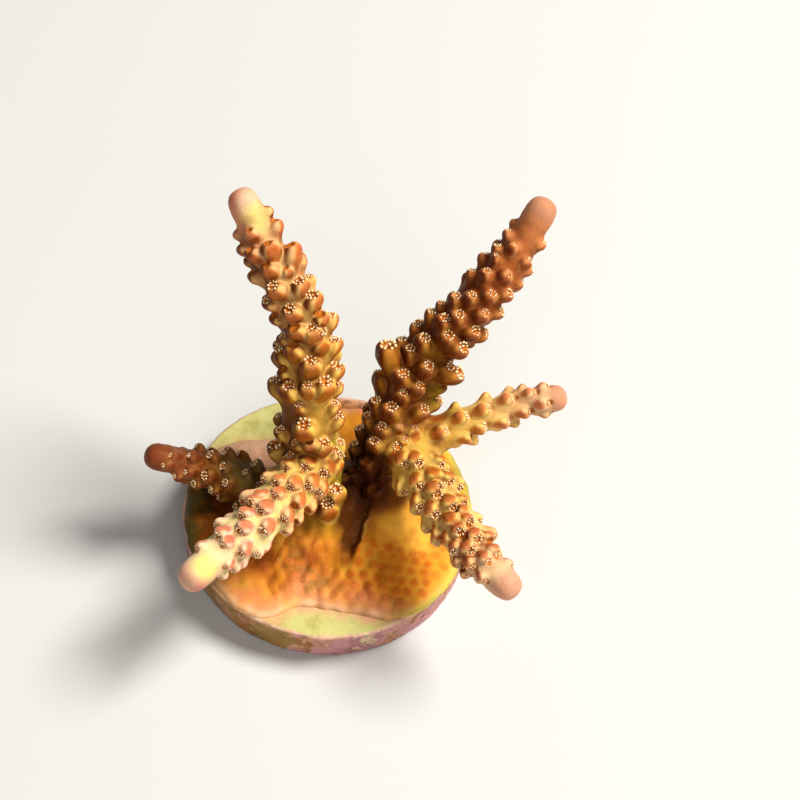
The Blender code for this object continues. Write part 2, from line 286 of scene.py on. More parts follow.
# ---------------------------------------------------------------- camera
ELEVATION, ROLL, AWAY = math.radians(53.57), math.radians(6.82), 180.0
FOCAL = 2002.5  # in pixels of an 800-pixel frame
AIM = np.array([5.02, 12.76, 4.0])
to_camera = np.array([0, -math.cos(ELEVATION), math.sin(ELEVATION)])
level, upright = np.array([1.0, 0, 0]), np.array([0, math.sin(ELEVATION), math.cos(ELEVATION)])
cam_x = math.cos(ROLL) * level + math.sin(ROLL) * upright
cam_y = -math.sin(ROLL) * level + math.cos(ROLL) * upright
cam_at = AIM + to_camera * AWAY


def seen_at(p):
    """Where points show in the 800 x 800 view."""
    d = p - cam_at
    z = -(d @ to_camera)
    return 400 + FOCAL * (d @ cam_x) / z, 400 - FOCAL * (d @ cam_y) / z


# ---------------------------------------------------------------- cups
# By branch: how far a mouth's face leans from straight out towards the tip, how high the
# cup stands off the core, how softly it meets its neighbours, how broad it is, and how far
# its outer wall overhangs the mouth.
LEAN = {"back_left": 66, "back_right": 56, "right": 76, "front_right": 75, "front_left": 76, "left": 66}
LIFT = {"back_left": 0.32, "back_right": 0.20, "right": 0.28, "front_right": 0.28, "front_left": 0.26, "left": 0.34}
MELD = {"back_left": 0.30, "back_right": 0.36, "right": 0.16, "front_right": 0.14, "front_left": 0.16, "left": 0.30}
BULK = {"back_left": 1.12, "back_right": 1.16, "right": 1.0, "front_right": 1.0, "front_left": 1.0, "left": 1.0}
HOOD = {"back_left": 0.12, "back_right": 0.05, "right": 0.16, "front_right": 0.18, "front_left": 0.18, "left": 0.10}


def cup_parts(name, s, phi, size, lift=0.0):
    """Foot and head of a cup's dome, the way it opens and the middle of its mouth, at length s and angle phi on a branch."""
    line = LINE[name]
    p, t, u, v, r = line.at(s)
    out = u * np.cos(phi)[..., None] + v * np.sin(phi)[..., None]
    size = np.asarray(size, float)[..., None]
    young = 1 - np.clip((line.length - np.asarray(s, float)) / 4.0, 0, 1)[..., None]
    face = math.radians(LEAN[name]) + young * 0.12
    base = p + out * r[..., None]
    foot = base - t * 0.80 * size - out * 0.34 * size
    head = base + t * 0.02 * size + out * (LIFT[name] + lift - 0.08 * young) * size
    opens = out * np.cos(face) + t * np.sin(face)
    mouth = head + opens * 0.50 * size - out * HOOD[name] * size
    return foot, head, out, opens, mouth, t + 0 * out


def from_view(name, x, y, size, lift):
    """The length and angle whose cup's mouth shows at x, y."""
    line = LINE[name]
    s = np.arange(0.2, line.length - 0.2, 0.1)
    phi = np.linspace(-math.pi, math.pi, 90, endpoint=False)
    ss, pp = np.meshgrid(s, phi, indexing="ij")
    _, _, out, _, mouth, _ = cup_parts(name, ss, pp, np.full(ss.shape, size), lift)
    px, py = seen_at(mouth)
    miss = np.hypot(px - x, py - y)
    cost = miss + 2.2 * np.maximum(0.05 - out @ to_camera, 0) * 3
    i = np.unravel_index(np.argmin(cost), cost.shape)
    return ss[i], pp[i], miss[i]


cups = []  # branch, s, phi, size, lift
for name, picks in CUPS.items():
    for x, y, size, *more in picks:
        lift = more[0] if more else 0.0
        s, phi, miss = from_view(name, x, y, size, lift)
        if miss > 4:
            print(f"cup at {x},{y} on {name} misses by {miss:.1f} px")
        cups.append((name, s, phi, size, lift))


def near_other_branch(name, point, reach):
    for other, line in LINE.items():
        if other == name:
            continue
        d = np.linalg.norm(line.p - point, axis=1) - line.r
        if d.min() < reach:
            return True
    return False


# The far side follows the growth rule: a golden spiral, smaller towards the tip.
for name, line in LINE.items():
    s, k = (2.2 if name in ("back_left", "back_right") else 3.0), 0
    while s < line.length - 1.7:
        phi = 0.7 + k * 2.39996
        rest = line.length - s
        size = (0.98 + 0.16 * rng.uniform(-1, 1)) * min(1.0, 0.5 + rest / 11.0)
        k += 1
        here, s = s, s + 0.30
        _, head, out, *_ = cup_parts(name, np.array(here), np.array(phi), np.array(size))
        if head[2] < 6.2 or near_other_branch(name, head, 0.75):
            continue
        crowd = False
        for other, s2, phi2, size2, lift2 in cups:
            if other != name or abs(s2 - here) > 3:
                continue
            h2 = cup_parts(name, np.array(s2), np.array(phi2), np.array(size2), lift2)[1]
            if np.linalg.norm(h2 - head) < 0.72 * (size + size2):
                crowd = True
                break
        if crowd:
            continue
        # towards the camera the listed cups are the whole set, but for what other branches hide
        if out @ to_camera > 0.35 and name not in ("left",):
            continue
        cups.append((name, here, phi, size, 0.0))

KEYS = ("foot", "head", "out", "opens", "mouth", "along")
cup = {key: [] for key in KEYS}
for name, s, phi, size, lift in cups:
    for key, value in zip(KEYS, cup_parts(name, np.array(s), np.array(phi), np.array(size), lift)):
        cup[key].append(value)
cup = {key: np.array(value) for key, value in cup.items()}
cup["side"] = np.cross(cup["along"], cup["out"])
cup["size"] = np.array([c[3] for c in cups])
cup["branch"] = np.array([list(LINES).index(c[0]) for c in cups])
cup["s"] = np.array([c[1] for c in cups])
print(len(cups), "cups")

# ---------------------------------------------------------------- distance field
LOW = np.array([-17.4, -17.0, 3.55])
HIGH = np.array([20.9, 16.6, 35.8])
DIMS = np.ceil((HIGH - LOW) / GRAIN).astype(int)
FAR = 2.0
field = np.full(DIMS, FAR, np.float32)


def window(low, high):
    a = np.clip(np.floor((np.asarray(low) - LOW) / GRAIN).astype(int), 0, DIMS - 2)
    b = np.clip(np.ceil((np.asarray(high) - LOW) / GRAIN).astype(int) + 1, a + 1, DIMS)
    axes = [np.float32(LOW[k]) + np.float32(GRAIN) * np.arange(a[k], b[k], dtype=np.float32) for k in range(3)]
    return (
        tuple(slice(i, j) for i, j in zip(a, b)),
        (axes[0][:, None, None], axes[1][None, :, None], axes[2][None, None, :]),
        a,
    )


def soft_min(a, b, k):
    h = np.maximum(k - np.abs(a - b), 0) / k
    return np.minimum(a, b) - h * h * k * np.float32(0.25)


def soft_max(a, b, k):
    h = np.maximum(k - np.abs(a - b), 0) / k
    return np.maximum(a, b) + h * h * k * np.float32(0.25)


def round_cone(xyz, p, q, rp, rq):
    """Distance to a straight stretch whose radius goes from rp to rq."""
    d = (q - p).astype(np.float32)
    p = p.astype(np.float32)
    w = [x - c for x, c in zip(xyz, p)]
    t = np.clip((w[0] * d[0] + w[1] * d[1] + w[2] * d[2]) / np.float32(d @ d), 0, 1)
    return np.sqrt(
        (w[0] - t * d[0]) ** 2 + (w[1] - t * d[1]) ** 2 + (w[2] - t * d[2]) ** 2
    ) - (np.float32(rp) + np.float32(rq - rp) * t)


def wide_cone(xyz, p, q, rp, rq, side, half):
    """As round_cone, drawn out to both sides."""
    p, side = p.astype(np.float32), side.astype(np.float32)
    w = [x - c for x, c in zip(xyz, p)]
    k = np.clip(w[0] * side[0] + w[1] * side[1] + w[2] * side[2], -np.float32(half), np.float32(half))
    shifted = [x - k * c for x, c in zip(xyz, side)]
    return round_cone(shifted, p, q, rp, rq)


# cores
for name, line in LINE.items():
    low, high = line.p.min(0) - 5.2, line.p.max(0) + 5.2
    part, xyz, origin = window(low, high)
    own = np.full([s.stop - s.start for s in part], FAR, np.float32)
    ids = list(range(0, line.n, 2)) + [line.n]
    for i, j in zip(ids, ids[1:]):
        p, q = line.p[i], line.p[j]
        rp, rq = line.r[i], line.r[j]
        reach = max(rp, rq) + FAR
        sub, sub_xyz, a = window(np.minimum(p, q) - reach, np.maximum(p, q) + reach)
        inner = tuple(slice(s.start - o, s.stop - o) for s, o in zip(sub, origin))
        own[inner] = np.minimum(own[inner], round_cone(sub_xyz, p, q, rp, rq))
    # the axial cup's end is blunter than a dome
    tip, t, r = line.p[-1], line.t[-1], line.r[-1]
    sub, sub_xyz, a = window(tip - 2 * r, tip + 2 * r)
    inner = tuple(slice(s.start - o, s.stop - o) for s, o in zip(sub, origin))
    longer = round_cone(sub_xyz, tip - t * 0.5, tip + t * 0.50 * r, r, r * 0.92)
    past = sum((x - c) * d for x, c, d in zip(sub_xyz, tip.astype(np.float32), t.astype(np.float32)))
    longer = soft_min(own[inner], longer, np.float32(0.25))
    own[inner] = soft_max(longer, past - np.float32(REACH[name] * r), np.float32(1.0))
    field[part] = soft_min(field[part], own, np.float32(1.3 if name != "left" else 1.6))
    del own

# ---------------------------------------------------------------- encrusting plate
outline_az = np.radians([a for a, r in PLATE_OUTLINE])
outline_r = np.array([r for a, r in PLATE_OUTLINE])
ring_az = np.linspace(-math.pi, math.pi, 721)
ring_r = np.interp(ring_az, outline_az, outline_r, period=2 * math.pi)
soften = np.exp(-((np.arange(-14, 15) / 6.0) ** 2))
soften /= soften.sum()
ring_r = np.convolve(np.concatenate([ring_r[-15:-1], ring_r, ring_r[1:15]]), soften, "valid")
ring_r += 0.10 * np.sin(9 * ring_az + 1.0) * 0.6 + 0.05 * np.sin(23 * ring_az + 0.4) + 0.03 * np.sin(41 * ring_az)
ring_r = np.minimum(ring_r, 12.66)
ring_slope = np.gradient(ring_r, ring_az)


def edge_of_plate(x, y):
    """Distance to the plate's outline in plan, negative inside."""
    az, rho = np.arctan2(y, x), np.hypot(x, y)
    r = np.interp(az, ring_az, ring_r)
    slope = np.interp(az, ring_az, ring_slope)
    return (rho - r) / np.sqrt(1 + (slope / np.maximum(r, 1)) ** 2)


# Small sunken cups all over the plate, on a loose hexagonal lattice.
SITE = 1.08
sites = []
for row in range(-14, 15):
    for col in range(-14, 15):
        x = (col + 0.5 * (row % 2)) * SITE + rng.uniform(-0.17, 0.17)
        y = row * SITE * 0.866 + rng.uniform(-0.17, 0.17)
        if edge_of_plate(x, y) < -1.1:
            sites.append((x, y, rng.uniform(0.8, 1.2)))
sites = np.array(sites)


def wave(x, y, turns):
    total = 0
    for k, (length, angle, phase) in enumerate(turns):
        total = total + np.sin((x * math.cos(angle) + y * math.sin(angle)) * 2 * math.pi / length + phase)
    return total / len(turns)


def past_lobe(x, y):
    """How far right of the right lobe's inner edge, and how much of an edge there is."""
    line = np.interp(y, [-6.5, -4.9, -3.2, -1.65, -0.05, 1.5, 2.6], [2.40, 2.80, 3.22, 3.50, 3.98, 4.85, 5.7])
    line = line + 0.07 * np.sin(2.9 * y) + 0.04 * np.sin(6.3 * y + 1.0)
    return (x - line) * 0.95, smooth(-6.6, -3.4, y) * smooth(3.4, 2.2, y)


def plate_top(x, y):
    """Height of the plate's upper face."""
    inward = -edge_of_plate(x, y)
    front = np.exp(-((np.degrees(np.arctan2(y, x)) + 83) / 26.0) ** 2)
    z = DISC_TOP + 0.17 - 0.09 * front + 0.75 * (1 - np.exp(-np.maximum(inward, 0) / (1.5 + 0.9 * front)))
    for cx, cy, wide, high in (
        (0.8, -0.3, 6.2, 0.75),
        (-0.3, -1.1, 3.6, 1.2),
        (3.9, 1.3, 3.5, 1.2),
        (-4.4, -0.6, 3.0, 1.1),
        (-10.6, -0.9, 1.3, 0.55),
        (-11.3, -3.0, 1.1, 0.6),
        (-11.0, -5.4, 0.9, 0.40),
        (-3.4, -6.2, 1.3, 0.35),
        (-1.2, -5.2, 1.1, 0.30),
        (-5.6, -7.6, 1.2, 0.30),
        (-2.2, -8.0, 1.2, 0.25),
        (-9.4, -4.9, 1.2, 0.42),
        (-11.6, 0.9, 1.0, 0.4),
    ):
        z = z + high * np.exp(-(((x - cx) ** 2 + (y - cy) ** 2) / wide**2))
    z = z + 0.10 * wave(x, y, [(5.3, 0.4, 1.0), (3.9, 1.9, 2.1), (2.9, 2.7, 0.3)])
    z = z + 0.05 * wave(x, y, [(1.7, 0.9, 0.2), (1.45, 2.4, 1.3), (1.3, 0.1, 2.9)])
    past, edge = past_lobe(x, y)
    z = z + edge * (0.30 * smooth(-0.25, 0.15, past) * smooth(2.6, 0.4, past) + 0.14 * np.exp(-((past / 0.22) ** 2)))
    return z


low, high = (-13.2, -13.2, 3.55), (13.2, 13.2, 9.6)
part, xyz, origin = window(low, high)
gx, gy = xyz[0][:, :, 0], xyz[1][:, :, 0]
top = plate_top(gx, gy).astype(np.float32)
bump = np.zeros_like(top)
for x, y, size in sites:
    i0 = int((x - 0.9 - xyz[0][0, 0, 0]) / GRAIN)
    j0 = int((y - 0.9 - xyz[1][0, 0, 0]) / GRAIN)
    i1, j1 = i0 + int(1.8 / GRAIN) + 1, j0 + int(1.8 / GRAIN) + 1
    i0, j0 = max(i0, 0), max(j0, 0)
    d2 = (gx[i0:i1] - x) ** 2 + (gy[:, j0:j1] - y) ** 2
    bump[i0:i1, j0:j1] += size * (
        0.11 * np.exp(-d2 / 0.36**2) - 0.06 * np.exp(-d2 / 0.14**2)
    )
top += bump
edge = edge_of_plate(gx, gy).astype(np.float32)
rise = xyz[2] - top[:, :, None]
own = soft_max(rise * np.float32(0.93), edge[:, :, None] + np.zeros_like(rise), np.float32(0.45))
own = np.maximum(own, np.float32(3.93) - xyz[2])
field[part] = soft_min(field[part], np.minimum(own, np.float32(FAR)), np.float32(1.5))
del own, rise

# ---------------------------------------------------------------- fuse the cups on
f32 = lambda v: np.asarray(v, np.float32)


def dist(xyz, c):
    return np.sqrt((xyz[0] - c[0]) ** 2 + (xyz[1] - c[1]) ** 2 + (xyz[2] - c[2]) ** 2)


bodies = np.full(DIMS, FAR, np.float32)
bulk = np.array([BULK[c[0]] for c in cups])
for i in range(len(cups)):
    size, wide = cup["size"][i], cup["size"][i] * bulk[i]
    foot, head, out, opens, side = (cup[k][i] for k in ("foot", "head", "out", "opens", "side"))
    reach = 1.8 * size + 0.5
    part, xyz, a = window(np.minimum(foot, head) - reach, np.maximum(foot, head) + reach)
    body = wide_cone(xyz, foot, head, 0.40 * wide, 0.50 * wide, side, 0.15 * wide)
    crown = head + opens * 0.26 * size + out * 0.15 * size
    lip = round_cone(xyz, crown - side * 0.22 * size, crown + side * 0.22 * size, 0.33 * wide, 0.33 * wide)
    body = soft_min(body, lip, f32(0.28))
    bodies[part] = soft_min(bodies[part], body, f32(MELD[cups[i][0]]))
field = soft_min(field, bodies, f32(0.60))
del bodies


def probe(p):
    """The field at points, by trilinear reading."""
    q = np.clip((p - LOW) / GRAIN, 0, np.array(DIMS) - 1.001)
    i = q.astype(int)
    f = q - i
    value = 0
    for o in range(8):
        dx, dy, dz = o & 1, o >> 1 & 1, o >> 2 & 1
        weight = (
            (f[:, 0] if dx else 1 - f[:, 0])
            * (f[:, 1] if dy else 1 - f[:, 1])
            * (f[:, 2] if dz else 1 - f[:, 2])
        )
        value = value + weight * field[i[:, 0] + dx, i[:, 1] + dy, i[:, 2] + dz]
    return value


# a mouth that a neighbour has overgrown moves out to the surface, and one left in the open moves in
h = np.arange(-0.3, 1.4, 0.05)
reading = np.array([probe(cup["mouth"] + cup["opens"] * k) for k in h])
first = np.where((reading > 0).any(0), (reading > 0).argmax(0), 6)
cup["mouth"] = cup["mouth"] + cup["opens"] * np.clip(h[first] - 0.10, -0.2, 1.1)[:, None]
cup["young"] = np.array([LINE[c[0]].length - c[1] < (6.2 if c[0] == "back_left" else 3.6) for c in cups])
for i in range(len(cups)):  # the mouths last, so that no neighbour fills one
    size, mouth, opens = cup["size"][i], cup["mouth"][i], cup["opens"][i]
    part, xyz, a = window(mouth - size, mouth + size)
    if cup["young"][i]:
        pit = dist(xyz, f32(mouth + opens * 0.22 * size)) - f32(0.31 * size)
    else:
        pit = dist(xyz, f32(mouth + opens * 0.20 * size)) - f32(0.39 * size)
    field[part] = soft_max(field[part], -pit, f32(0.10))


# ---------------------------------------------------------------- surface
def surface_of(f):
    """Naive surface nets: one vertex in each cell that the surface crosses, one quad for each crossed edge."""
    inside = f < 0
    count = np.zeros([n - 1 for n in f.shape], np.uint8)
    for dx in (0, 1):
        for dy in (0, 1):
            for dz in (0, 1):
                count += inside[
                    dx : f.shape[0] - 1 + dx, dy : f.shape[1] - 1 + dy, dz : f.shape[2] - 1 + dz
                ]
    cells = np.argwhere((count > 0) & (count < 8))
    index = np.full(count.shape, -1, np.int32)
    index[cells[:, 0], cells[:, 1], cells[:, 2]] = np.arange(len(cells), dtype=np.int32)
    corner = np.empty((len(cells), 8), np.float32)
    offs = np.array([(i & 1, i >> 1 & 1, i >> 2 & 1) for i in range(8)])
    for k, o in enumerate(offs):
        c = cells + o
        corner[:, k] = f[c[:, 0], c[:, 1], c[:, 2]]
    total = np.zeros((len(cells), 3), np.float32)
    hits = np.zeros(len(cells), np.float32)
    for a in range(8):
        for bit in (1, 2, 4):
            b = a | bit
            if b == a:
                continue
            fa, fb = corner[:, a], corner[:, b]
            cross = (fa < 0) != (fb < 0)
            t = np.where(cross, fa / np.where(cross, fa - fb, 1), 0)
            total += np.where(cross[:, None], offs[a] + t[:, None] * (offs[b] - offs[a]), 0)
            hits += cross
    verts = LOW + GRAIN * (cells + total / hits[:, None])
    quads = []
    for axis in range(3):
        o = [slice(None)] * 3
        o[axis] = slice(0, -1)
        n = [slice(None)] * 3
        n[axis] = slice(1, None)
        change = inside[tuple(o)] != inside[tuple(n)]
        at = np.argwhere(change)
        b, c = (axis + 1) % 3, (axis + 2) % 3
        ok = (at[:, b] > 0) & (at[:, c] > 0) & (at[:, b] < f.shape[b] - 1) & (at[:, c] < f.shape[c] - 1)
        at = at[ok]
        eb, ec = np.zeros(3, int), np.zeros(3, int)
        eb[b], ec[c] = 1, 1
        get = lambda q: index[q[:, 0], q[:, 1], q[:, 2]]
        quad = np.stack([get(at - eb - ec), get(at - ec), get(at), get(at - eb)], 1)
        out = inside[at[:, 0], at[:, 1], at[:, 2]]
        quad[~out] = quad[~out][:, ::-1]
        quads.append(quad)
    return verts, np.vstack(quads)


def slope_at(p, h=0.12):
    g = np.stack(
        [probe(p + d) - probe(p - d) for d in np.eye(3) * h], 1
    )
    return unit(g)


verts, quads = surface_of(field)
for _ in range(2):  # settle the vertices on the surface
    normal = slope_at(verts, 0.07)
    verts = verts - normal * np.clip(probe(verts), -0.05, 0.05)[:, None]
normal = slope_at(verts, 0.13)
print(len(verts), "vertices", len(quads) * 2, "triangles in the skin")


# ---------------------------------------------------------------- which piece each part of the skin is
NODES = [
    "encrusting_plate",
    "left_stem",
    "right_stem",
    "back_left_branch",
    "back_right_branch",
    "right_branch",
    "front_right_branch",
    "front_left_branch",
    "left_branch",
]
names = list(LINES)
line_p = np.vstack([LINE[n].p for n in names]).astype(np.float32)
line_r = np.concatenate([LINE[n].r for n in names]).astype(np.float32)
line_s = np.concatenate([LINE[n].s for n in names])
line_b = np.concatenate([np.full(len(LINE[n].s), i) for i, n in enumerate(names)])


def in_chunks(work, p, size=12000):
    return [np.concatenate(x) for x in zip(*[work(p[i : i + size]) for i in range(0, len(p), size)])]


def nearest_line(p):
    d = np.sqrt(np.maximum((p**2).sum(1)[:, None] + (line_p**2).sum(1)[None] - 2 * p @ line_p.T, 0)) - line_r
    i = d.argmin(1)
    return i, d[np.arange(len(p)), i]


at_line, excess = in_chunks(nearest_line, verts.astype(np.float32))
branch, along = line_b[at_line], line_s[at_line]

label = np.zeros(len(verts), int)
for i, name in enumerate(names):
    line = LINE[name]
    p, t, *_ = line.at(np.array(FORK[name]))
    here = branch == i
    past = (verts - p) @ t > 0
    label[here & past] = NODES.index(name + "_branch")
    label[here & ~past] = NODES.index(STEM_OF[name])
label[(label != NODES.index("left_branch")) & (verts[:, 2] < ROOT_LEVEL)] = 0
label[(label == NODES.index("left_branch")) & ((excess > 1.25) | (verts[:, 2] < 6.3))] = 0

edges = np.vstack([quads[:, [0, 1]], quads[:, [1, 2]], quads[:, [2, 3]], quads[:, [3, 0]]])
edges = np.unique(np.sort(edges, 1), axis=0)
both = np.vstack([edges, edges[:, ::-1]])


def neighbour_vote(label):
    votes = np.bincount(both[:, 0] * len(NODES) + label[both[:, 1]], minlength=len(label) * len(NODES))
    return votes.reshape(-1, len(NODES))


for _ in range(6):  # even out the lines between pieces
    votes = neighbour_vote(label)
    votes[np.arange(len(label)), label] += 1
    label = votes.argmax(1)


def islands(label):
    """Connected parts of equal label."""
    same = edges[label[edges[:, 0]] == label[edges[:, 1]]]
    root = np.arange(len(label))
    while True:
        low = np.minimum(root[same[:, 0]], root[same[:, 1]])
        new = root.copy()
        np.minimum.at(new, root[same[:, 0]], low)
        np.minimum.at(new, root[same[:, 1]], low)
        new = new[new]
        if (new == root).all():
            return root
        root = new


for _ in range(3):
    root = islands(label)
    size_of = np.bincount(root, minlength=len(label))
    moved = 0
    for k in range(len(NODES)):
        mine = np.unique(root[label == k])
        if len(mine) < 2:
            continue
        biggest = mine[size_of[mine].argmax()]
        for other in mine[mine != biggest]:
            members = root == other
            rim = both[members[both[:, 0]] & ~members[both[:, 1]]]
            if len(rim):
                label[members] = np.bincount(label[rim[:, 1]]).argmax()
                moved += 1
    if not moved:
        break

# parts of the skin that nothing shows, inside the disc
flat_below = (verts[quads][:, :, 2] < 3.99).all(1)
quads = quads[~flat_below]
face_label = np.sort(label[quads], 1)[:, 1]

# a patch of skin cut off from the rest of its piece goes to the piece around it
side_a = np.concatenate([quads[:, k] for k in range(4)])
side_b = np.concatenate([quads[:, (k + 1) % 4] for k in range(4)])
side_key = np.minimum(side_a, side_b).astype(np.int64) * len(verts) + np.maximum(side_a, side_b)
by_side = np.argsort(side_key, kind="stable")
face_at = np.tile(np.arange(len(quads)), 4)[by_side]
shared = side_key[by_side][1:] == side_key[by_side][:-1]
pairs = np.stack([face_at[:-1][shared], face_at[1:][shared]], 1)
alike = face_label[pairs[:, 0]] == face_label[pairs[:, 1]]
inner, outer = pairs[alike], pairs[~alike]
island = np.arange(len(quads))
for _ in range(400):
    lower = np.minimum(island[inner[:, 0]], island[inner[:, 1]])
    joined = island.copy()
    np.minimum.at(joined, inner[:, 0], lower)
    np.minimum.at(joined, inner[:, 1], lower)
    joined = joined[joined]
    if (joined == island).all():
        break
    island = joined
extent = np.bincount(island, minlength=len(quads))
for k in np.where((extent > 0) & (extent < 1500))[0]:
    ids = island == k
    near = np.concatenate([face_label[outer[ids[outer[:, 0]], 1]], face_label[outer[ids[outer[:, 1]], 0]]])
    if len(near):
        face_label[ids] = np.bincount(near).argmax()
    else:  # a closed bubble inside the skin, which nothing shows
        face_label[ids] = -1
quads, face_label = quads[face_label >= 0], face_label[face_label >= 0]

# ---------------------------------------------------------------- noise on points
TABLE = rng.random(4096).astype(np.float32)


def value_noise(p, scale, seed=0):
    q = p / scale + 137.3 * (seed + 1)
    i = np.floor(q).astype(np.int64)
    f = q - i
    f = f * f * (3 - 2 * f)
    total = 0
    for o in range(8):
        d = np.array([o & 1, o >> 1 & 1, o >> 2 & 1])
        c = i + d
        h = (c[:, 0] * 73856093 ^ c[:, 1] * 19349663 ^ c[:, 2] * 83492791) & 4095
        w = np.prod(np.where(d, f, 1 - f), 1)
        total = total + TABLE[h] * w
    return total * 2 - 1


def fractal(p, scale, octaves=3, seed=0):
    total, weight = 0, 0
    for k in range(octaves):
        total = total + value_noise(p, scale / 2**k, seed + k) / 2**k
        weight += 1 / 2**k
    return total / weight


# ---------------------------------------------------------------- what grows where on the skin, and where light and shade are painted on it
heads, mouths = cup["head"].astype(np.float32), cup["mouth"].astype(np.float32)


def nearest_cup(p):
    d = np.maximum((p**2).sum(1)[:, None] + (heads**2).sum(1)[None] - 2 * p @ heads.T, 0)
    d = np.sqrt(d) / cup["size"][None].astype(np.float32)
    i = d.argmin(1)
    return i, d[np.arange(len(p)), i]


at_cup, cup_d = in_chunks(nearest_cup, verts.astype(np.float32))
size = cup["size"][at_cup]
n_ = cup["opens"][at_cup]
w_ = unit(cup["out"][at_cup] - n_ * (cup["out"][at_cup] * n_).sum(1)[:, None])
rel = (verts - cup["mouth"][at_cup]) / size[:, None]
up = (rel * n_).sum(1)
back = (rel * w_).sum(1)
across = np.sqrt(np.maximum((rel**2).sum(1) - up**2, 0))

mask = {}
mask["pit"] = smooth(0.42, 0.30, across) * smooth(-0.75, -0.25, up) * (cup_d < 1.3)
# the flushed outer wall: deepest near the mouth, with a pale line round its foot
off = (verts - cup["head"][at_cup]) / size[:, None]
along_cup = (off * cup["along"][at_cup]).sum(1)
beside = (off * cup["side"][at_cup]).sum(1)
above = (off * cup["out"][at_cup]).sum(1)
outline = np.hypot(beside / 0.74, (along_cup + 0.24) / 0.98)
stands = smooth(-0.75, -0.35, above)
mask["dome"] = smooth(1.02, 0.76, outline) * stands * (1 - mask["pit"])
mask["ring"] = smooth(0.66, 0.90, outline) * smooth(1.22, 1.0, outline) * stands * (1 - mask["pit"])
mask["deep"] = mask["dome"] * smooth(-0.75, 0.25, along_cup) * smooth(0.95, 0.4, outline)

length = np.array([LINE[n].length for n in names])[branch]
to_tip = length - along
mask["rise"] = np.clip(along / length, 0, 1)
mask["tip"] = smooth(3.6, 0.6, to_tip)
end = np.zeros(len(verts))
for i, name in enumerate(names):
    line = LINE[name]
    e = (verts - line.p[-1]) @ line.t[-1]
    end = np.maximum(end, smooth(-1.0, 0.7, e) * (branch == i) * (to_tip < 2.5))
mask["end"] = end

spoke = verts - np.vstack([LINE[n].p for n in names])[at_line]
mask["ribx"] = (unit(spoke) * np.vstack([LINE[n].u for n in names])[at_line]).sum(1)
mask["riby"] = (unit(spoke) * np.vstack([LINE[n].v for n in names])[at_line]).sum(1)

# how closed in each point of the skin is, for painted shade in its hollows and under its neighbours; less of it on the
# plate's open back
near = 1 - probe(verts + normal * 0.35) / 0.35
mid = 1 - probe(verts + normal * 0.9) / 0.9
wide = 1 - probe(verts + normal * 1.7) / 1.7
mask["hollow_shade"] = np.clip(near * 0.9 + mid * 0.8, 0, 1)
mask["shade"] = np.clip(mid * 0.5 + wide * 0.8, 0, 1)
open_back = smooth(100, 118, np.degrees(np.arctan2(verts[:, 1], verts[:, 0]))) * smooth(5.8, 5.0, verts[:, 2])
mask["shade"] *= 1 - 0.8 * open_back
mask["crest"] = np.clip(probe(verts - normal * 0.35) / -0.35, 0, 2)  # thin places
mask["crest"] = np.clip(1.0 - mask["crest"], 0, 1)
cup["buried"] = probe(cup["mouth"] + cup["opens"] * 0.8 * cup["size"][:, None]) < 0

# how pale and how red each branch's tissue is: partly its own colour and partly painted light and shade, the lit front
# and right branches paler, the shaded back-right and left branches darker and redder
tone = {"back_left": 0.34, "back_right": 0.05, "right": 0.80, "front_right": 0.76, "front_left": 1.0, "left": 0.0}
ruddy = {"back_left": 0.15, "back_right": 0.88, "right": 0.06, "front_right": 0.10, "front_left": 0.0, "left": 0.66}
tones = np.array([tone[n] for n in names])
ruddies = np.array([ruddy[n] for n in names])
# tone changes gently between branches
d_all = []
for i, name in enumerate(names):
    q = LINE[name]
    sample = q.p[:: max(1, q.n // 30)].astype(np.float32)
    r_ = q.r[:: max(1, q.n // 30)].astype(np.float32)
    d = np.full(len(verts), 99.0, np.float32)
    for c, r in zip(sample, r_):
        d = np.minimum(d, np.sqrt(((verts.astype(np.float32) - c) ** 2).sum(1)) - r)
    d_all.append(d)
d_all = np.array(d_all)
weight = np.exp(-np.maximum(d_all, 0) / 0.7)
mask["tone"] = (weight * tones[:, None]).sum(0) / np.maximum(weight.sum(0), 1e-9)
mask["ruddy"] = (weight * ruddies[:, None]).sum(0) / np.maximum(weight.sum(0), 1e-9)

mask["ruddy"] *= 1 - 0.25 * smooth(0.62, 0.98, mask["rise"]) * (branch == names.index("back_right"))

inward = -edge_of_plate(verts[:, 0], verts[:, 1])
az = np.degrees(np.arctan2(verts[:, 1], verts[:, 0]))
mask["front"] = smooth(-150, -125, az) * smooth(-35, -60, az)
mask["margin"] = smooth(1.5 + 2.3 * mask["front"], 0.2, inward) * (verts[:, 2] < 5.6)
mask["backleft"] = smooth(100, 118, az) * smooth(172, 150, az)
mask["rightedge"] = smooth(-62, -40, az) * smooth(70, 45, az)
# painted shade on the plate's left side, beyond the left-hand branches
mask["left_shade"] = smooth(-7.5, -9.5, verts[:, 0])
mask["lime"] = mask["rightedge"] * smooth(0.75 + 0.6 * smooth(-30, 0, az), 0.15, inward) * (verts[:, 2] < 5.6)

dots = np.zeros(len(verts))
eyes = np.zeros(len(verts))
low_skin = np.where(verts[:, 2] < 6.6)[0]
low_p = verts[low_skin].astype(np.float32)
for i in range(0, len(low_skin), 8000):
    part = slice(i, i + 8000)
    d2 = (low_p[part, 0, None] - sites[None, :, 0]) ** 2 + (low_p[part, 1, None] - sites[None, :, 1]) ** 2
    d = np.sqrt(d2.min(1))
    dots[low_skin[part]] = smooth(0.56, 0.20, d)
    eyes[low_skin[part]] = smooth(0.20, 0.08, d)
flat = smooth(0.75, 0.92, normal[:, 2])
mask["dots"] = dots * smooth(6.6, 5.9, verts[:, 2])
mask["eyes"] = eyes * smooth(6.6, 5.9, verts[:, 2])


def ball(x, y, z, r):
    return smooth(1.0, 0.35, np.sqrt(((verts - (x, y, z)) ** 2).sum(1)) / r)


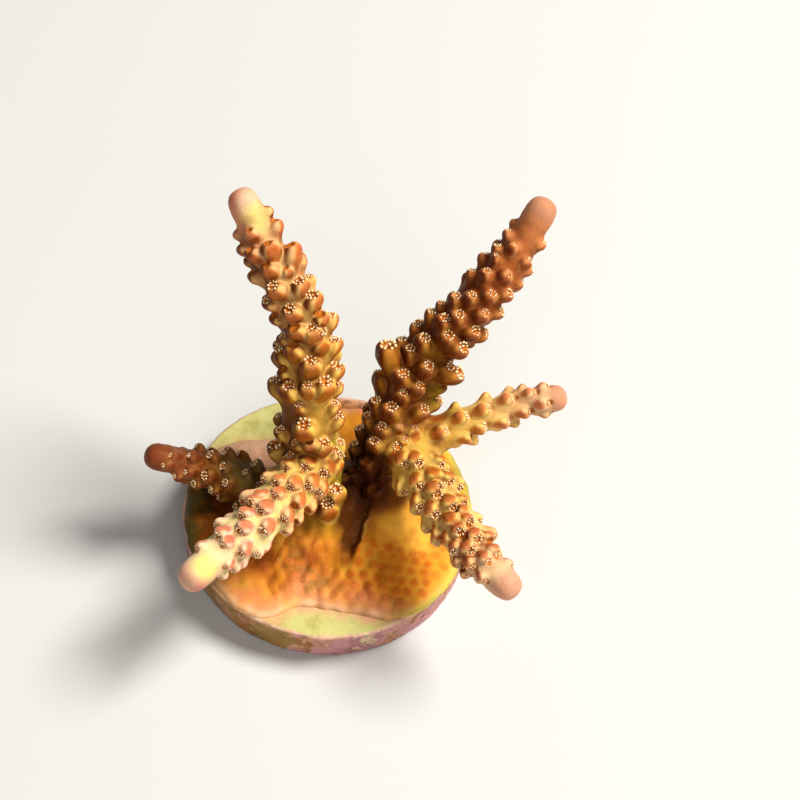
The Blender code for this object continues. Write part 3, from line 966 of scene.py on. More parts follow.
def on_branch(name, x, y):
    """The point of a branch's core surface that shows at x, y."""
    line = LINE[name]
    ss, pp = np.meshgrid(np.arange(0, line.length, 0.2), np.linspace(-math.pi, math.pi, 72), indexing="ij")
    p, t, u, v, r = line.at(ss)
    out = u * np.cos(pp)[..., None] + v * np.sin(pp)[..., None]
    q = p + out * r[..., None]
    px, py = seen_at(q)
    cost = np.hypot(px - x, py - y) + 20 * np.maximum(0.1 - out @ to_camera, 0)
    return q[np.unravel_index(cost.argmin(), cost.shape)]


# green: new growth between the trunks and on the right trunk's flank
mask["green"] = np.clip(
    sum(
        strength * ball(*on_branch(name, x, y), r)
        for name, x, y, r, strength in (
            ("back_left", 342, 462, 1.5, 1.0), ("back_left", 342, 440, 1.3, 0.9), ("back_left", 336, 480, 1.6, 0.8),
            ("back_left", 300, 455, 1.6, 0.35), ("back_left", 338, 410, 1.0, 0.5),
            ("back_right", 440, 385, 1.9, 0.95), ("back_right", 448, 365, 1.5, 0.8), ("back_right", 432, 350, 1.6, 0.4),
            ("back_right", 395, 360, 1.3, 0.7), ("back_right", 398, 338, 1.3, 0.9), ("back_right", 440, 405, 1.6, 0.6),
            ("back_right", 372, 452, 1.6, 0.35), ("right", 448, 408, 1.5, 0.5), ("back_right", 350, 440, 1.4, 0.7),
        )
    )
    + 0.7 * ball(0.9, -1.6, 9.0, 1.8) + 0.5 * ball(1.6, 1.6, 10.0, 2.4),
    0, 1,
)
mask["moss"] = np.clip(0.8 * ball(-10.6, -1.2, 5.6, 3.2) + 0.7 * ball(-8.2, 1.6, 5.4, 2.2) + 0.9 * ball(-11.9, -3.6, 5.0, 2.4) + 0.5 * ball(-0.5, -7.5, 5.2, 2.2) + 0.4 * ball(-3.0, -5.5, 5.2, 2.4), 0, 1)

# painted shadow: near-black in the fold between the trunks, running out over the plate
fold = np.array([(3.0, 3.2), (2.85, 0.8), (2.7, -1.2), (2.25, -3.6), (2.05, -5.6)])
away = np.full(len(verts), 99.0)
for k, (p, q) in enumerate(zip(fold, fold[1:])):
    d = q - p
    t = np.clip(((verts[:, :2] - p) @ d) / (d @ d), 0, 1)
    wide_ = 2.25 - 0.42 * (k + t)
    away = np.minimum(away, np.linalg.norm(verts[:, :2] - p - t[:, None] * d, axis=1) / wide_)
ragged = fractal(verts, 1.1, 3, 81)
mask["fold_shadow"] = smooth(1.30, 0.55, away + 0.30 * ragged) * smooth(10.5, 8.5, verts[:, 2])
mask["fold_shadow"] *= smooth(-6.6, -4.2, verts[:, 1] + 0.8 * ragged)
# painted shadow on the right trunk's foot, joined to the fold's
foot_shadow = sum(ball(*on_branch("back_right", x, y), r) for x, y, r in (
    (372, 462, 2.6), (358, 478, 2.2), (388, 474, 2.2), (366, 440, 1.7), (376, 490, 2.2), (392, 458, 1.5),
))
foot_shadow = foot_shadow + ball(1.6, -0.6, 7.0, 2.9) + ball(2.3, 0.6, 8.2, 2.6) + ball(2.8, 1.9, 8.6, 2.6) + ball(1.4, -2.2, 6.0, 2.2)
foot_shadow = np.clip(foot_shadow, 0, 1) * (1 - 0.55 * smooth(386, 396, seen_at(verts)[0]))
mask["fold_shadow"] = np.maximum(mask["fold_shadow"], foot_shadow * smooth(0.1, 0.9, verts[:, 0]))
mask["green"] *= 1 - mask["fold_shadow"]
past, lobe_edge = past_lobe(verts[:, 0], verts[:, 1])
low_down = smooth(7.4, 6.6, verts[:, 2])
mask["fold_shadow"] *= 1 - lobe_edge * low_down * smooth(-0.10 - 0.25 * ragged, 0.30 - 0.25 * ragged, past)
# painted shade: the sides of the back trunks and the left branch turned towards -x, away from the key light, darkened
turned = smooth(0.05, -0.70, normal[:, 0])
mask["side_shade"] = turned * np.array([{"back_left": 1.0, "back_right": 0.8, "left": 0.5}.get(n, 0.0) for n in names])[branch] * (1 - mask["tip"]) * smooth(5.5, 8.0, verts[:, 2])
mask["honey"] = weight[names.index("right")] / np.maximum(weight.sum(0), 1e-9) * (verts[:, 2] > 8)
mask["side_shade"] = np.maximum(mask["side_shade"], 0.75 * smooth(0.25, -0.45, normal[:, 0]) * (branch == names.index("back_left")) * smooth(0.72, 0.45, mask["rise"]))
# painted shade: the back-left tip's side turned away from the key light, redder and darker
mask["tip_side_shade"] = smooth(-0.10, -0.75, normal[:, 0]) * mask["tip"] * (branch == names.index("back_left"))
mask["sage"] = np.clip(ball(*on_branch("left", 250, 474), 2.4) + 0.7 * ball(*on_branch("left", 228, 468), 1.7), 0, 1) * (verts[:, 2] > 5.8)
mask["lemon"] = ball(*on_branch("front_left", 207, 566), 1.7) + 0.5 * ball(*on_branch("back_left", 258, 214), 1.5)
mask["blotch"] = np.clip(1.3 * ball(*on_branch("front_left", 189, 586), 1.75), 0, 1)
mask["ridge"] = lobe_edge * low_down * smooth(0.36, 0.08, np.abs(past - 0.05)) * smooth(-4.6, -2.2, verts[:, 1])
mask["hem"] = mask["front"] * smooth(0.9, 0.1, inward) * (verts[:, 2] < 5.6)
mask["shaded"] = np.clip(smooth(-128, -142, az) + smooth(172, 180, az), 0, 1)
# darker brown patches on the plate's front middle: partly the tissue's own cloudy colour, partly painted soft shadow of
# the branches above
mask["umber_and_shadow"] = np.clip(sum(k * ball(x, y, 5.2, r) for x, y, r, k in (
    (-3.4, -6.8, 3.0, 0.75), (-1.0, -7.0, 2.6, 0.7), (0.4, -5.6, 1.8, 0.4), (-5.6, -6.2, 2.2, 0.5), (-1.6, -4.8, 2.0, 0.5),
)), 0, 1) * smooth(-0.2, -0.9, past + 0.4 * ragged - 0.7 * smooth(-4.5, -6.5, verts[:, 1]))
# painted light on the plate under the front-right branch's root, where its cast shadow falls; the painted shade is
# lifted there too
mask["painted_light"] = np.clip(ball(5.6, 1.0, 5.6, 3.2) + ball(4.8, -1.4, 5.2, 2.6) + 0.8 * ball(7.4, -2.2, 5.2, 2.4), 0, 1) * smooth(-0.2, 0.4, past)
mask["shade"] *= 1 - 0.9 * mask["painted_light"]
mask["hollow_shade"] *= 1 - 0.9 * mask["painted_light"]
mask["dots"] *= 0.30 + 0.70 * smooth(0.5, 2.8, verts[:, 0])
pale_end = {"back_left": 1.0, "back_right": 0.62, "right": 0.10, "front_right": 0.25, "front_left": 0.45, "left": 0.0}
mask["pale"] = np.array([pale_end[n] for n in names])[branch]
# a pale cream streak down the back-left branch's right side: the pale tissue between its cups, painted brighter as
# light on its lit side
mask["lit_cream"] = np.clip(sum(ball(*on_branch("back_left", x, y), 1.35) for x, y in (
    (252, 212), (262, 226), (272, 244), (279, 260), (284, 276), (288, 292), (296, 306), (302, 320), (307, 334),
)), 0, 1)
# darker and browner on the left branch and the plate's left front: partly the tissue's own colour, partly painted
# shadow of the back-left branch
mask["dun_and_shadow"] = weight[names.index("left")] / np.maximum(weight.sum(0), 1e-9)
mask["dun_and_shadow"] = np.maximum(0.7 * mask["dun_and_shadow"] * smooth(-3.0, -5.0, verts[:, 0]), 0.45 * ball(-8.5, -3.0, 5.0, 4.0) * (verts[:, 2] < 7))

# how far the skin is that of the plate, and not of a branch
ground = DISC_TOP + 1.0 + 0.25 * fractal(verts, 1.2, 2, 71)
mask["plate"] = smooth(2.4, 0.7, verts[:, 2] - ground) * smooth(0.1, 0.9, excess + 0.25)
mask["plate"] = np.where(verts[:, 2] < ground + 0.35, 1.0, mask["plate"])

# a little unevenness in the skin itself
grain = fractal(verts, 0.42, 2, 3) * 0.020 + fractal(verts, 1.6, 2, 9) * 0.035
grain *= 1 - 0.7 * mask["pit"]
verts = verts + normal * grain[:, None]

tri_n = np.cross(verts[quads[:, 2]] - verts[quads[:, 0]], verts[quads[:, 3]] - verts[quads[:, 1]])
vertex_n = np.zeros_like(verts)
for k in range(4):
    for axis in range(3):
        vertex_n[:, axis] += np.bincount(quads[:, k], tri_n[:, axis], minlength=len(verts))
vertex_n = unit(vertex_n)


# ---------------------------------------------------------------- meshes
def loops_of(faces):
    """Open borders of a face list as vertex loops, each running against its faces."""
    a = np.concatenate([faces[:, k] for k in range(4)])
    b = np.concatenate([faces[:, (k + 1) % 4] for k in range(4)])
    n = int(max(a.max(), b.max())) + 1
    key, which = np.unique(np.minimum(a, b) * n + np.maximum(a, b), return_inverse=True)
    net = np.bincount(which, np.where(a < b, 1, -1)).astype(int)
    onward = {}
    for k in np.where(net != 0)[0]:
        low, high = int(key[k]) // n, int(key[k]) % n
        p, q = (high, low) if net[k] > 0 else (low, high)
        for _ in range(abs(net[k])):
            onward.setdefault(p, []).append(q)
    loops = []
    while onward:
        start = next(iter(onward))
        loop, here = [start], start
        while True:
            step = onward[here].pop()
            if not onward[here]:
                del onward[here]
            if step == start:
                break
            loop.append(step)
            here = step
        loops.append(loop)
    return loops


def mesh_object(name, verts_mm, faces, loop_normals=None, attributes=None):
    mesh = bpy.data.meshes.new(name)
    flat_faces = np.concatenate([np.asarray(f, np.int32).ravel() for f in faces])
    counts = np.concatenate([np.full(len(f), np.asarray(f).shape[1], np.int32) for f in faces])
    mesh.vertices.add(len(verts_mm))
    mesh.vertices.foreach_set("co", (verts_mm * MM).astype(np.float32).ravel())
    mesh.loops.add(len(flat_faces))
    mesh.loops.foreach_set("vertex_index", flat_faces)
    mesh.polygons.add(len(counts))
    starts = np.concatenate([[0], np.cumsum(counts)[:-1]]).astype(np.int32)
    mesh.polygons.foreach_set("loop_start", starts)
    mesh.polygons.foreach_set("loop_total", counts)
    mesh.update(calc_edges=True)
    mesh.validate()
    mesh.polygons.foreach_set("use_smooth", np.ones(len(mesh.polygons), bool))
    for key, values in (attributes or {}).items():
        layer = mesh.attributes.new(key, "FLOAT", "POINT")
        layer.data.foreach_set("value", np.asarray(values, np.float32))
    if loop_normals is not None and len(mesh.loops) == len(loop_normals):
        mesh.normals_split_custom_set(loop_normals.astype(np.float32))
    obj = bpy.data.objects.new(name, mesh)
    bpy.context.scene.collection.objects.link(obj)
    return obj


coral = {}
total = 0
for k, node in enumerate(NODES):
    faces = quads[face_label == k]
    used, local = np.unique(faces, return_inverse=True)
    local = local.reshape(faces.shape)
    pts = verts[used]
    norms = vertex_n[used]
    extra, caps, cap_n = [], [], []
    for loop in loops_of(local):
        ring = pts[loop]
        centre = ring.mean(0)
        if node == "encrusting_plate" and ring[:, 2].max() < 4.3:
            centre = np.array([0, 0, 3.93])
        area = np.zeros(3)
        for p, q in zip(ring - centre, np.roll(ring, -1, 0) - centre):
            area += np.cross(p, q)
        c = len(pts) + len(extra)
        extra.append(centre)
        for p, q in zip(loop, loop[1:] + loop[:1]):
            caps.append((p, q, c))
            cap_n.append(unit(area))
    if extra:
        pts = np.vstack([pts, extra])
    at = {key: np.concatenate([value[used], np.zeros(len(extra))]) for key, value in mask.items()}
    loop_n = norms[local.ravel()]
    groups = [local]
    if caps:
        groups.append(np.array(caps))
        loop_n = np.vstack([loop_n, np.repeat(np.array(cap_n), 3, 0)])
    obj = mesh_object(node + "_skin", pts, groups, loop_n, at)
    count = len(local) * 2 + len(caps)
    total += count
    print(f"{node:22s} {count:7d} triangles, {len(extra)} cuts")
    coral[node] = obj
print("skin", total)

# ---------------------------------------------------------------- tentacle crowns
def finger(sides=6):
    """A short rounded tentacle along +Z, 1 long and 1 across, closed at the bottom."""
    rings = [(0.0, 0.30), (0.5, 0.46), (0.84, 0.34)]
    pts = [(0, 0, -0.15)]
    for z, r in rings:
        for i in range(sides):
            a = 2 * math.pi * i / sides
            pts.append((r * math.cos(a), r * math.sin(a), z))
    pts.append((0, 0, 1.0))
    tris = []
    ring = lambda j, i: 1 + j * sides + i % sides
    for i in range(sides):
        tris.append((0, ring(0, i + 1), ring(0, i)))
        for j in range(len(rings) - 1):
            a, b, c, d = ring(j, i), ring(j, i + 1), ring(j + 1, i + 1), ring(j + 1, i)
            tris += [(a, b, c), (a, c, d)]
        tris.append((ring(len(rings) - 1, i), ring(len(rings) - 1, i + 1), len(pts) - 1))
    return np.array(pts), np.array(tris)


finger_p, finger_t = finger()
crowns = {}
for i, name in enumerate(names):
    pts, tris, rises, kinds = [], [], [], []
    count = 0
    for c in np.where(cup["branch"] == i)[0]:
        if cup["buried"][c] or (cup["young"][c] and name == "back_left"):
            continue
        at_x, at_y = seen_at(cup["mouth"][c])
        if name == "back_right" and at_x < 396 and at_y > 456:  # no crowns at the fold's foot, whose skin is painted in shadow
            continue
        size = cup["size"][c]
        n = cup["opens"][c]
        w = unit(cup["out"][c] - n * (cup["out"][c] @ n))
        v = np.cross(n, w)
        mouth = cup["mouth"][c]
        turn = rng.uniform(0, 6.28)
        outer = int(rng.integers(8, 10)) if not cup["young"][c] else 5
        places = []
        for j in range(outer):
            a = turn + 2 * math.pi * (j + rng.uniform(-0.18, 0.18)) / outer
            places.append((a, size * rng.uniform(0.27, 0.34), rng.uniform(0.75, 1.15), 0.22))
        spread = 0.62 if cup["young"][c] else 1.0
        for j in range(int(rng.integers(2, 4))):
            a = rng.uniform(0, 6.28)
            places.append((a, size * rng.uniform(0.04, 0.15), rng.uniform(0.6, 0.9), 0.05))
        for a, rad, big, tilt in places:
            base = mouth + (w * math.cos(a) + v * math.sin(a)) * rad * spread - n * 0.12 * size
            d = unit(n + (w * math.cos(a) + v * math.sin(a)) * tilt)
            side = unit(np.cross(d, w + 0.3 * v))
            other = np.cross(d, side)
            thick, tall = 0.185 * size * big, 0.26 * size * big
            q = base + finger_p[:, :1] * side * thick + finger_p[:, 1:2] * other * thick + finger_p[:, 2:] * d * tall
            pts.append(q)
            tris.append(finger_t + count)
            rises.append(finger_p[:, 2])
            kinds.append(np.full(len(finger_p), rng.uniform(0, 1)))
            count += len(finger_p)
    obj = mesh_object(
        name + "_polyps", np.vstack(pts), [np.vstack(tris)], None,
        {"reach": np.concatenate(rises), "vary": np.concatenate(kinds)},
    )
    crowns[name] = obj
    total += sum(len(t) for t in tris)
print("with polyps", total)

# ---------------------------------------------------------------- the disc
def lathe_disc():
    turns = 720
    # profile from the top's middle, out over the rim, down the side and in under the base
    profile = [(r, DISC_TOP) for r in np.concatenate([[0.05], np.arange(0.8, 8.0, 0.8), np.arange(8.0, 12.15, 0.18)])]
    profile += [(12.16, DISC_TOP - 0.01), (12.27, DISC_TOP - 0.05), (12.35, DISC_TOP - 0.13), (12.40, DISC_TOP - 0.26)]
    for z in np.arange(3.58, 0.44, -0.16):
        profile.append((UNDER_RADIUS + (DISC_RADIUS - UNDER_RADIUS) * z / DISC_TOP, z))
    profile += [(11.90, 0.30), (11.84, 0.15), (11.72, 0.05), (11.55, 0.0), (10.6, 0.0), (6.0, 0.0), (0.05, 0.0)]
    profile = np.array(profile)
    az = np.linspace(0, 2 * math.pi, turns, endpoint=False)
    r = profile[:, 0][:, None] * np.ones(turns)
    z = profile[:, 1][:, None] * np.ones(turns)
    x, y = r * np.cos(az), r * np.sin(az)
    p = np.stack([x, y, z], -1).reshape(-1, 3)
    side = smooth(11.2, 12.2, r).ravel() * smooth(-0.05, 0.3, z).ravel()
    crust = fractal(p, 1.5, 3, 21) * 0.14 + fractal(p, 0.55, 2, 31) * 0.06
    lumps = np.maximum(fractal(p, 2.6, 2, 41) - 0.15, 0) * 0.35
    gap = edge_of_plate(x.ravel(), y.ravel()) + 0.12 * fractal(p, 0.8, 2, 91)
    az_ = np.degrees(np.arctan2(y, x)).ravel()
    front = smooth(-114, -106, az_) * smooth(-53, -61, az_)
    back = smooth(96, 108, az_) * smooth(166, 154, az_)
    bare = np.clip(front + back, 0, 1) * smooth(12.30, 12.12, r.ravel() + 0.10 * fractal(p, 1.4, 2, 93))
    film = smooth(0.95, 0.1, gap) * (0.35 + 0.65 * front)
    az_w = az_ + 11 * fractal(p, 1.7, 3, 95)
    out = np.stack([np.cos(az), np.sin(az), 0 * az], -1)
    out = np.broadcast_to(out, (len(profile), turns, 3)).reshape(-1, 3)
    on_top = smooth(3.7, 3.98, z).ravel()
    lift = side * (crust + lumps)
    p = p + out * (lift * (1 - 0.6 * on_top))[:, None]
    p[:, 2] += on_top * (fractal(p, 1.1, 3, 51) * 0.035 + 0.03) * (r.ravel() > 0.5)
    # a rolled lip of crust round the top edge
    p[:, 2] += np.exp(-(((r.ravel() - 12.15) / 0.25) ** 2)) * on_top * (0.05 + 0.10 * fractal(p, 2.0, 2, 61))
    rows = np.arange(len(profile) - 1)[:, None] * turns
    cols = np.arange(turns)[None]
    nxt = (cols + 1) % turns
    faces = np.stack([rows + cols, rows + turns + cols, rows + turns + nxt, rows + nxt], -1).reshape(-1, 4)
    top_mid, low_mid = len(p), len(p) + 1
    last = (len(profile) - 1) * turns
    p = np.vstack([p, [[0, 0, DISC_TOP], [0, 0, 0]]])
    c = np.arange(turns)
    fans = np.vstack([
        np.stack([np.full(turns, top_mid), c, (c + 1) % turns], -1),
        np.stack([np.full(turns, low_mid), last + (c + 1) % turns, last + c], -1),
    ])
    at = {
        "side": np.concatenate([side, [0, 0]]),
        "ontop": np.concatenate([on_top * bare, [1, 0]]),
        "film": np.concatenate([film, [0, 0]]),
        "olive": np.concatenate([np.clip(smooth(-116, -111, az_w) * smooth(-95, -99, az_w) + 0.8 * smooth(-150, -140, az_w) * smooth(-118, -126, az_w), 0, 1) * (1 - on_top), [0, 0]]),
        "mauve": np.concatenate([np.clip(smooth(-93, -90, az_w) * smooth(-77, -80, az_w) + 0.8 * smooth(-64, -58, az_w) * smooth(-30, -40, az_w), 0, 1) * (1 - on_top), [0, 0]]),
        "lip": np.concatenate([on_top * smooth(11.9, 12.15, r.ravel()), [0, 0]]),
        "crust": np.concatenate([crust + lumps, [0, 0]]),
    }
    return mesh_object("frag_disc_fired", p, [faces, fans], None, at)


disc = lathe_disc()
for shell in (disc.data,):
    shell.shade_smooth() if hasattr(shell, "shade_smooth") else None


# ---------------------------------------------------------------- materials
def srgb(r, g, b):
    lin = lambda c: c / 12.92 if c <= 0.04045 else ((c + 0.055) / 1.055) ** 2.4
    return (lin(r / 255), lin(g / 255), lin(b / 255), 1.0)


class Shader:
    """A small helper for building node trees."""

    def __init__(self, name):
        self.mat = bpy.data.materials.new(name)
        self.mat.use_nodes = True
        self.tree = self.mat.node_tree
        self.tree.nodes.clear()
        self.out = self.tree.nodes.new("ShaderNodeOutputMaterial")
        self.bsdf = self.tree.nodes.new("ShaderNodeBsdfPrincipled")
        self.tree.links.new(self.bsdf.outputs[0], self.out.inputs[0])
        self.coords = self.tree.nodes.new("ShaderNodeTexCoord").outputs["Object"]

    def put(self, socket, value):
        if isinstance(value, bpy.types.NodeSocket):
            self.tree.links.new(value, socket)
        else:
            socket.default_value = value

    def attr(self, name):
        node = self.tree.nodes.new("ShaderNodeAttribute")
        node.attribute_name = name
        return node.outputs["Fac"]

    def math(self, op, a, b=0.0, clamp=False):
        node = self.tree.nodes.new("ShaderNodeMath")
        node.operation, node.use_clamp = op, clamp
        self.put(node.inputs[0], a)
        self.put(node.inputs[1], b)
        return node.outputs[0]

    def mix(self, fac, a, b, mode="MIX"):
        node = self.tree.nodes.new("ShaderNodeMix")
        node.data_type, node.blend_type = "RGBA", mode
        node.clamp_factor = True
        self.put(node.inputs[0], fac)
        self.put(node.inputs[6], a)
        self.put(node.inputs[7], b)
        return node.outputs[2]

    def ramp(self, fac, stops, smooth_=True):
        node = self.tree.nodes.new("ShaderNodeValToRGB")
        node.color_ramp.interpolation = "EASE" if smooth_ else "LINEAR"
        marks = node.color_ramp.elements
        while len(marks) > 1:
            marks.remove(marks[-1])
        marks[0].position, marks[0].color = stops[0]
        for at, colour in stops[1:]:
            m = marks.new(at)
            m.color = colour
        self.put(node.inputs[0], fac)
        return node.outputs[0]

    def span(self, value, a, b, c=0.0, d=1.0):
        node = self.tree.nodes.new("ShaderNodeMapRange")
        node.interpolation_type = "SMOOTHSTEP"
        self.put(node.inputs[0], value)
        for k, v in enumerate((a, b, c, d)):
            node.inputs[k + 1].default_value = v
        return node.outputs[0]

    def noise(self, size_mm, detail=2.0, rough=0.5, distort=0.0, stretch=None, shift=0.0):
        node = self.tree.nodes.new("ShaderNodeTexNoise")
        vec = self.coords
        if stretch or shift:
            m = self.tree.nodes.new("ShaderNodeMapping")
            m.inputs["Scale"].default_value = stretch or (1, 1, 1)
            m.inputs["Location"].default_value = (shift, shift, shift)
            self.put(m.inputs["Vector"], self.coords)
            vec = m.outputs[0]
        self.put(node.inputs["Vector"], vec)
        node.inputs["Scale"].default_value = 1 / (size_mm * MM)
        node.inputs["Detail"].default_value = detail
        node.inputs["Roughness"].default_value = rough
        node.inputs["Distortion"].default_value = distort
        return node.outputs[0]

    def cells(self, size_mm, feature="F1", jitter=1.0):
        node = self.tree.nodes.new("ShaderNodeTexVoronoi")
        node.feature = feature
        self.put(node.inputs["Vector"], self.coords)
        node.inputs["Scale"].default_value = 1 / (size_mm * MM)
        node.inputs["Randomness"].default_value = jitter
        return node.outputs["Distance"]

    def bump(self, height, strength, distance_mm, normal=None):
        node = self.tree.nodes.new("ShaderNodeBump")
        node.inputs["Strength"].default_value = strength
        node.inputs["Distance"].default_value = distance_mm * MM
        self.put(node.inputs["Height"], height)
        if normal is not None:
            self.put(node.inputs["Normal"], normal)
        return node.outputs[0]


def branch_colour(s, mottle):
    """Living tissue on the branches: golden below, paling to pink at the tips, flushed on the cups. How pale and how
    red each branch is stands partly for painted light and shade, and the back-left tip's side away from the light
    carries painted shade.
    """
    rise, tone, ruddy = s.attr("rise"), s.attr("tone"), s.attr("ruddy")
    climb = s.math("ADD", rise, s.math("MULTIPLY", s.math("SUBTRACT", mottle, 0.5), 0.35))
    deep = s.ramp(climb, [(0.0, srgb(192, 136, 10)), (0.35, srgb(206, 144, 16)), (0.7, srgb(224, 164, 62)), (1.0, srgb(224, 166, 118))])
    light = s.ramp(climb, [(0.0, srgb(248, 212, 62)), (0.35, srgb(252, 236, 130)), (0.7, srgb(250, 238, 168)), (1.0, srgb(240, 216, 180))])
    red = s.ramp(climb, [(0.0, srgb(96, 40, 4)), (0.35, srgb(118, 54, 8)), (0.55, srgb(144, 62, 14)), (0.8, srgb(188, 94, 44)), (1.0, srgb(218, 126, 84))])
    colour = s.mix(tone, deep, light)
    colour = s.mix(ruddy, colour, red)
    # pale tissue on the back-left branch's right side, painted brighter as light
    colour = s.mix(s.math("MULTIPLY", s.attr("lit_cream"), 0.85), colour, srgb(250, 228, 150))
    high = s.span(rise, 0.45, 1.0, 0.0, 0.75)
    wall = s.ramp(tone, [(0.0, srgb(206, 130, 18)), (0.5, srgb(208, 130, 22)), (0.8, srgb(212, 128, 36)), (1.0, srgb(222, 134, 82))])
    core = s.ramp(tone, [(0.0, srgb(164, 78, 6)), (0.72, srgb(176, 80, 10)), (1.0, srgb(196, 88, 30))])
    wall = s.mix(s.math("MULTIPLY", ruddy, 0.9), wall, srgb(142, 68, 14))
    core = s.mix(s.math("MULTIPLY", ruddy, 0.9), core, srgb(110, 42, 6))
    rosy = s.math("MULTIPLY", s.span(tone, 0.85, 1.0), s.span(rise, 0.30, 0.75))
    wall = s.mix(s.math("MULTIPLY", s.span(tone, 0.85, 1.0), s.span(rise, 0.5, 0.2)), wall, srgb(230, 158, 58))
    wall = s.mix(high, wall, s.mix(ruddy, s.mix(s.span(tone, 0.5, 0.75), srgb(216, 124, 66), srgb(210, 108, 80)), srgb(194, 98, 54)))
    core = s.mix(high, core, s.mix(ruddy, s.mix(s.span(tone, 0.5, 0.75), srgb(188, 78, 40), srgb(180, 66, 42)), srgb(158, 64, 26)))
    wall = s.mix(s.math("MULTIPLY", rosy, 0.8), wall, srgb(232, 142, 116))
    core = s.mix(s.math("MULTIPLY", rosy, 0.8), core, srgb(204, 88, 62))
    wall = s.mix(s.math("MULTIPLY", s.attr("honey"), 0.65), wall, s.ramp(rise, [(0.2, srgb(240, 168, 66)), (0.9, srgb(236, 154, 104))]))
    core = s.mix(s.math("MULTIPLY", s.attr("honey"), 0.55), core, srgb(206, 106, 44))
    dome = s.math("MULTIPLY", s.attr("dome"), s.span(mottle, 0.15, 0.6, 0.75, 1.0))
    warm = s.ramp(rise, [(0.1, srgb(252, 202, 84)), (0.9, srgb(246, 186, 128))])
    colour = s.mix(s.math("MULTIPLY", s.attr("honey"), 0.6), colour, warm)
    colour = s.mix(dome, colour, wall)
    colour = s.mix(s.math("MULTIPLY", s.attr("deep"), 0.85), colour, core)
    line = s.mix(high, s.ramp(tone, [(0.0, srgb(238, 192, 78)), (0.76, srgb(246, 216, 112)), (1.0, srgb(250, 200, 140))]), srgb(242, 176, 152))
    line = s.mix(rosy, line, srgb(250, 206, 188))
    faint = s.math("MULTIPLY", s.math("SUBTRACT", 1.0, s.math("MULTIPLY", ruddy, 0.55)), 0.74)
    colour = s.mix(s.math("MULTIPLY", s.attr("ring"), faint), colour, line)
    off_dome = s.math("SUBTRACT", 1.0, s.math("MULTIPLY", s.attr("dome"), 0.75))
    pale_tip = s.mix(s.span(tone, 0.6, 0.8), srgb(232, 188, 136), srgb(244, 214, 172))
    colour = s.mix(s.math("MULTIPLY", s.math("MULTIPLY", s.attr("tip"), 0.65), off_dome), colour, s.mix(ruddy, pale_tip, srgb(210, 118, 74)))
    end = s.mix(s.attr("pale"), s.mix(ruddy, srgb(208, 120, 92), srgb(164, 78, 44)), srgb(224, 188, 168))
    end = s.mix(s.math("MULTIPLY", s.attr("blotch"), 0.75), s.mix(s.math("MULTIPLY", tone, 0.35), end, srgb(222, 168, 156)), srgb(198, 112, 108))
    colour = s.mix(s.math("MULTIPLY", s.attr("end"), 0.85), colour, end)
    # painted shade on the back-left tip's end, on its side away from the key light
    colour = s.mix(s.math("MULTIPLY", s.math("MULTIPLY", s.attr("tip_side_shade"), s.attr("end")), 0.5), colour, srgb(212, 132, 112))
    colour = s.mix(s.math("MULTIPLY", s.attr("blotch"), 0.55), colour, srgb(204, 124, 118))
    return s.mix(s.math("MULTIPLY", s.attr("lemon"), 0.8), colour, srgb(218, 218, 120))


def plate_colour(s):
    """The encrusting skin: orange with softly darker cups, rosy at its growing edge, with painted shade on its left
    side and in soft patches under the branches, and painted light under the front-right branch's root.
    """
    cloud = s.noise(2.6, 3, 0.55)
    colour = s.ramp(cloud, [(0.25, srgb(218, 130, 24)), (0.5, srgb(240, 162, 44)), (0.75, srgb(248, 186, 66))])
    # painted shade: the plate's left side darker and browner
    colour = s.mix(s.math("MULTIPLY", s.attr("left_shade"), 0.7), colour, srgb(172, 92, 34))
    soft = s.span(s.noise(3.4, 2, 0.5, shift=0.12), 0.35, 0.6, 0.35, 0.75)
    colour = s.mix(s.math("MULTIPLY", s.attr("dots"), soft), colour, srgb(218, 100, 20))
    # painted light on the plate under the front-right branch's root
    colour = s.mix(s.math("MULTIPLY", s.attr("painted_light"), 0.8), colour, srgb(255, 196, 76))
    colour = s.mix(s.math("MULTIPLY", s.attr("ridge"), 0.7), colour, srgb(252, 214, 130))
    patchy = s.span(s.noise(1.4, 3, 0.6, shift=0.05), 0.30, 0.62, 0.35, 1.0)
    left = s.math("SUBTRACT", 1.0, s.attr("rightedge"))
    # brown patches: partly own colour, partly painted soft shadow of the branches above
    brown = s.math("MULTIPLY", s.attr("umber_and_shadow"), s.span(s.noise(1.7, 3, 0.6, shift=0.23), 0.32, 0.60, 0.60, 1.0))
    colour = s.mix(brown, colour, srgb(166, 84, 26))
    pink = s.math("MULTIPLY", s.math("MULTIPLY", s.attr("margin"), patchy), left)
    colour = s.mix(pink, colour, s.mix(s.attr("shaded"), s.mix(s.attr("hem"), srgb(228, 142, 100), srgb(246, 198, 162)), srgb(112, 112, 52)))
    wide = s.math("MULTIPLY", s.attr("backleft"), s.span(s.noise(2.2, 3, 0.6, shift=0.07), 0.3, 0.6, 0.5, 1.0))
    colour = s.mix(wide, colour, srgb(252, 204, 180))
    colour = s.mix(s.math("MULTIPLY", s.attr("lime"), 0.9), colour, srgb(206, 214, 62))
    fleck = s.math("MULTIPLY", s.span(s.noise(0.5, 3, 0.6, shift=0.27), 0.58, 0.72, 0.0, 0.5), s.span(s.attr("dots"), 0.5, 0.1))
    colour = s.mix(s.math("MULTIPLY", fleck, 0.6), colour, srgb(202, 112, 34))
    moss = s.math("MULTIPLY", s.attr("moss"), s.span(s.noise(1.2, 3, 0.65, shift=0.09), 0.4, 0.6))
    return s.mix(moss, colour, srgb(104, 106, 48))


